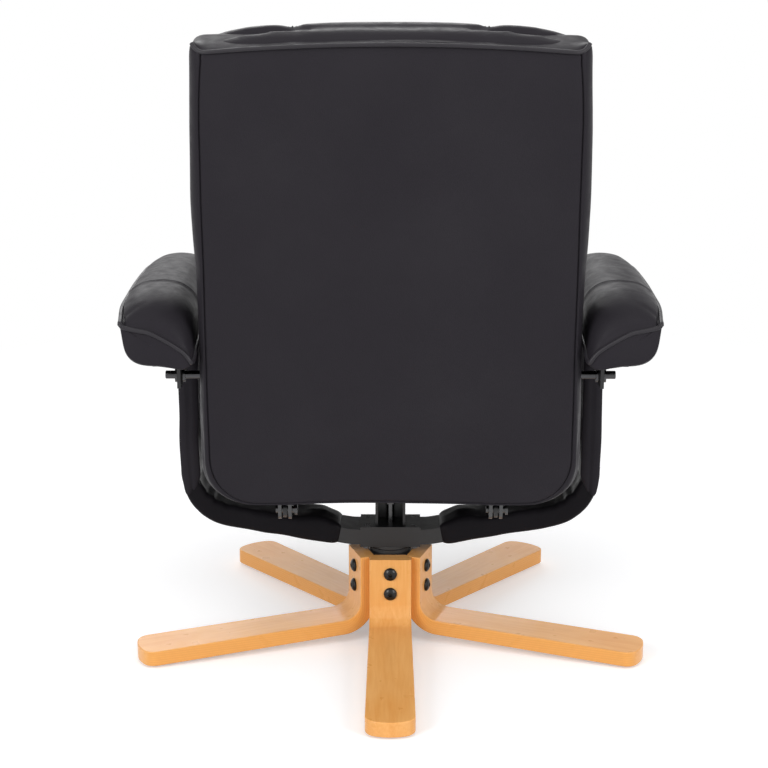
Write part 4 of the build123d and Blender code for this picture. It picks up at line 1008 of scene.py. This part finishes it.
def armRings():
    shares, smooth = armStations(), curved(arm["sections"], 400)
    wide, edge, crown, inner = (np.interp(shares, smooth[:, 0], smooth[:, column]) for column in range(1, 5))
    rearLine = curved(arm["rearLine"], arm["topPoints"])
    crowded = np.linspace(0, 1, arm["topPoints"]) ** 1.35
    even = np.linspace(0, 1, arm["topPoints"])
    rearLine = np.stack([np.interp(crowded, even, rearLine[:, axis]) for axis in (0, 1)], 1)
    depth, place, spread = arm["groove"]
    dent, dentStart, dentWidth = arm["crease"]
    cut, cutWidth = arm["seamCut"]
    ridge, ridgePlace, ridgeWidth = arm["seamRidge"]
    rings, outerEdge, innerEdge = [], [], []
    for row, share in enumerate(shares):
        y = arm["rear"] - share * arm["length"]
        width = arm["width"] * wide[row]
        outer = np.array((arm["inner"] + width, arm["low"] + arm["height"] * edge[row]))
        inside = np.array((arm["inner"] + 0.001, arm["low"] + arm["height"] * inner[row]))
        top = arm["low"] + arm["height"] * crown[row]
        rising = [(outer[0] - width * part, outer[1] + (top - outer[1]) * up) for part, up in arm["rising"]]
        falling = [(outer[0] - width * part, top - (top - inside[1]) * down) for part, down in arm["falling"]]
        knots = [outer, *rising, (outer[0] - width * arm["crownPlace"], top), *falling, inside]
        cover = curved(knots, arm["topPoints"])
        cover = np.stack([np.interp(crowded, even, cover[:, axis]) for axis in (0, 1)], 1)
        ease = min(share / arm["rollShare"], 1)
        ease = (1 - (1 - ease) ** arm["rollPower"]) ** (1 / arm["rollPower"])
        cover = rearLine * (1 - ease) + cover * ease
        reach = reachOf(cover)
        way = np.gradient(cover, axis=0)
        way /= np.linalg.norm(way, axis=1)[:, None]
        outward = np.stack([way[:, 1], -way[:, 0]], 1)
        ends = clipped(reach / 0.002) * clipped((reach[-1] - reach) / 0.01)
        press = depth * bell(reach, place, spread)
        press += cut * bell(y, arm["crossSeam"], cutWidth)
        press -= ridge * bell(y, arm["crossSeam"] + ridgePlace, ridgeWidth)
        inward = cover[0][0] - cover[:, 0]
        line = dentStart - inward * arm["creaseSlant"]
        fading = clipped(1 - inward / arm["creaseReach"])
        press += dent * bell(y, line, dentWidth) * fading
        cover = cover - outward * (press * ends)[:, None]
        outer, end = cover[0], cover[-1]
        foot = np.array((arm["footPlace"], arm["low"] + 0.0005))
        shape = np.array(arm["bandRear"]) * (1 - ease) + np.array(arm["bandMiddle"]) * ease
        band = curved(foot + shape * (outer - foot), arm["bandPoints"])
        toe = np.array((end[0] + 0.01, arm["low"] + 0.0002))
        base = evenly([end, (end[0] + 0.002, (end[1] + toe[1]) / 2), toe, foot], arm["basePoints"] + 2)[1:-1]
        ring = np.vstack([cover, base, band[:-1]])
        rings.append(upright(y, ring))
        outerEdge.append((outer[0] + 0.0004, y, outer[1] + 0.0008))
        innerEdge.append((end[0], y, end[1]))
    return np.array(rings), outerEdge, innerEdge, rearLine


def makeArm(side, sign):
    rings, outerEdge, innerEdge, rearLine = armRings()
    rear, front = rings[0], rings[-1]
    rearMiddle, frontMiddle = rear.mean(0), front.mean(0)
    first = [rearMiddle + (rear - rearMiddle) * share + (0, lift, 0) for share, lift in arm["rearCaps"]]
    last = [frontMiddle + (front - frontMiddle) * share - (0, lift, 0) for share, lift in arm["frontCaps"]]
    rings = rippledRings(first + list(rings) + last, sign, 14, arm["ripple"], 5 + sign)
    settle(loft("armPad" + side, rings, finishes["leatherette"]), "cradle",
           ("arm_pad_" + side.lower(),))
    rearPath = [(x, arm["rear"] + 0.0022, z + 0.0006) for x, z in rearLine]
    frontEnd = frontMiddle + (np.array(outerEdge[-1]) - frontMiddle) * 0.8 - (0, 0.012, 0)
    path = list(reversed(innerEdge)) + list(reversed(rearPath)) + outerEdge[1:] + [tuple(frontEnd)]
    path = evenly(np.array(path) * (sign, 1, 1), 320)
    alongLines("armPiping" + side, weltTree, [path], "cradle", finishes["weltLeather"], Radius=arm["welt"])


for side, sign in sides:
    makeArm(side, sign)
print("arms made")

# The cradle bar's centre line, for what is wrapped round it
bar = {"knee": 0.058, "slope": 10, "side": 0.305, "centre": 0.166, "corner": 0.075, "thickness": 0.024,
       "depth": 0.06}


def barLine(start, top, count):
    slope = math.radians(bar["slope"])
    height = bar["centre"] + (bar["side"] - bar["knee"]) * math.tan(slope)
    turn = math.pi / 2 - slope
    cut = bar["corner"] * math.tan(turn / 2)
    line = [(start, bar["centre"] + (start - bar["knee"]) * math.tan(slope))]
    middle = np.array((bar["side"] - bar["corner"], height + cut))
    for step in range(25):
        angle = -math.pi / 2 + slope + turn * step / 24
        line.append(tuple(middle + bar["corner"] * np.array((math.cos(angle), math.sin(angle)))))
    line.append((bar["side"], top))
    return evenly(line, count)


# Leather sleeve round the bar's sloping half, with gathers where it bends
sleeve = {
    "start": 0.078, "top": 0.278, "wall": 0.0046, "endWall": 0.0012, "thinFrom": 0.215, "thinOver": 0.04,
    "radius": 0.004, "rings": 150, "around": 56, "ripple": 0.0012,
    # how far the leather bunches up on the bar's upper side, where, and the gathers in the bend
    "bunch": 0.01, "bunchPlace": 0.112, "bunchSpread": 0.024, "gather": 0.0011, "gatherPitch": 0.023,
    "gatherBend": 0.28, "gatherSpread": 0.22, "gatherBase": 0.6,
}


def roundedBox(halfWide, halfTall, radius, count):
    corners = [(-halfWide, -halfTall, radius), (halfWide, -halfTall, radius), (halfWide, halfTall, radius),
               (-halfWide, halfTall, radius)]
    return evenly(arcCorners(corners, 6), count, True)


def makeSleeve(side, sign):
    line = barLine(sleeve["start"], sleeve["top"], sleeve["rings"])
    ahead = np.gradient(line, axis=0)
    ahead /= np.linalg.norm(ahead, axis=1)[:, None]
    rings = []
    reach = reachOf(line)
    for index, (point, way) in enumerate(zip(line, ahead)):
        share = index / (len(line) - 1)
        thin = clipped((point[1] - sleeve["thinFrom"]) / sleeve["thinOver"])
        wall = sleeve["wall"] + (sleeve["endWall"] - sleeve["wall"]) * thin
        wall *= 1 - 0.7 * math.exp(-(share * 60) ** 1.2)
        box = roundedBox(bar["depth"] / 2 + wall, bar["thickness"] / 2 + wall, sleeve["radius"] + wall,
                         sleeve["around"])
        upper = clipped(box[:, 1] / (bar["thickness"] / 2)) ** 2
        rise = sleeve["bunch"] * bell(point[0], sleeve["bunchPlace"], sleeve["bunchSpread"])
        bent = bell(1 - way[0], sleeve["gatherBend"], sleeve["gatherSpread"])
        wave = sleeve["gatherBase"] + math.sin(2 * math.pi * reach[index] / sleeve["gatherPitch"])
        fold = sleeve["gather"] * bent * wave
        box[:, 1] += upper * (rise * (1 - 0.35 * np.abs(box[:, 0]) / (bar["depth"] / 2)) + fold)
        out = np.array((-way[1], way[0]))
        rings.append(np.stack([point[0] + out[0] * box[:, 1], box[:, 0], point[1] + out[1] * box[:, 1]], 1))
    rings = rippledRings(rings, sign, 30, sleeve["ripple"], 9 * sign)
    # the sleeve's leather is painted at 0.42 of the leather's colour: painted shade under the seat and back
    settle(loft("barSleeve" + side, rings, finishes["sleevePaintedShadeLeather"]), "cradle",
           stands=("bar_sleeve_" + side.lower(),))


for side, sign in sides:
    makeSleeve(side, sign)

# Side panel: a leather envelope that hangs from the arm round the bar's side
panel = {
    "low": 0.234, "top": 0.48, "rear": 0.0345, "front": 0.172, "shoulder": 0.425, "toe": 0.03,
    "inner": 0.289, "outer": 0.3188, "tip": 0.31, "flareInner": 0.024, "flareOuter": 0.026, "thin": 0.011,
    "flarePower": 2.2, "flareFrom": 0.025, "flareOver": 0.1, "rearClose": 0.005, "frontClose": 0.008,
    "seamPlace": 0.303, "seamDip": 0.0016, "seamWidth": 0.002, "fold": 0.002, "foldWaves": 70,
    "ripple": 0.0022, "rows": 90, "around": 110,
}


def panelFront(z):
    # the front edge's distance ahead of the swivel axis at a height
    rise = (z - panel["low"]) / (panel["shoulder"] - panel["low"])
    if rise >= 1:
        return panel["front"]
    toe = panel["toe"]
    return toe + (panel["front"] - toe) * (1 - (1 - max(rise, 0)) ** 0.62) ** 0.9


def makePanel(side, sign):
    rings = []
    for z in np.linspace(panel["low"], panel["top"], panel["rows"]):
        share = (z - panel["low"]) / (panel["top"] - panel["low"])
        tip = min(1, share / 0.13) ** 0.5
        rear, front = panel["rear"], -max(panelFront(z), 0.012)
        t = (1 - np.cos(np.linspace(0, math.pi, panel["around"] // 2))) / 2
        y = rear + (front - rear) * t
        ahead = clipped((-panel["flareFrom"] - y) / panel["flareOver"])
        ahead = ahead * ahead * (3 - 2 * ahead)
        wave = panel["fold"] * ahead * np.sin(y * panel["foldWaves"] + 9 * share)
        flare = share ** panel["flarePower"]
        outer = panel["outer"] + panel["flareOuter"] * flare * ahead - panel["thin"] * (1 - share) * ahead
        inner = panel["inner"] + panel["flareInner"] * flare * ahead
        outer, inner = outer + wave, inner + wave * 0.6
        middle = (outer + inner) / 2
        rearEdge = clipped((rear - y) / panel["rearClose"])
        frontEdge = clipped((y - front) / panel["frontClose"])
        close = (1 - (1 - rearEdge) ** 2.4) ** 0.5 * (1 - (1 - frontEdge) ** 2) ** 0.5
        skins = []
        for face in (outer, inner):
            x = middle + (face - middle) * close
            x = panel["tip"] + (x - panel["tip"]) * (0.12 + 0.88 * tip)
            dip = panel["seamDip"] * bell(x, panel["seamPlace"], panel["seamWidth"]) * (rearEdge < 1)
            skins.append(np.stack([x, y - dip, np.full(len(y), z)], 1))
        rings.append(np.vstack([skins[0], skins[1][::-1]]))
    rings = rippledRings(rings, sign, 14, panel["ripple"], 4 * sign)
    settle(loft("sidePanel" + side, rings, finishes["leatherSoft"]), "cradle",
           stands=("side_panel_" + side.lower(),))


for side, sign in sides:
    makePanel(side, sign)
print("sleeves and side panels made")

# Piping along the top of the rear panel, up to an ear at each corner
backPiping = {"radius": 0.003, "depth": 0.0028, "drop": 0.002,
              "ear": [(0.2515, 0.68, 0.0045), (0.2575, 0.6818, 0.0075), (0.262, 0.6848, 0.011),
                      (0.2652, 0.689, 0.015)]}


def makeBackPiping():
    top = [(back["topHalf"] * share, topAt(share) - backPiping["drop"], backPiping["depth"])
           for share in np.linspace(-0.93, 0.93, 25)]
    ear = backPiping["ear"]
    knots = [(-x, rise, depth) for x, rise, depth in reversed(ear)] + top + ear
    line = curved([onBack(*knot) for knot in knots], 240)
    alongLines("backTopPiping", weltTree, [line], "backrest", finishes["weltLeather"],
               Radius=backPiping["radius"])


makeBackPiping()
print("piping made")

print("pieces made:", len(made))
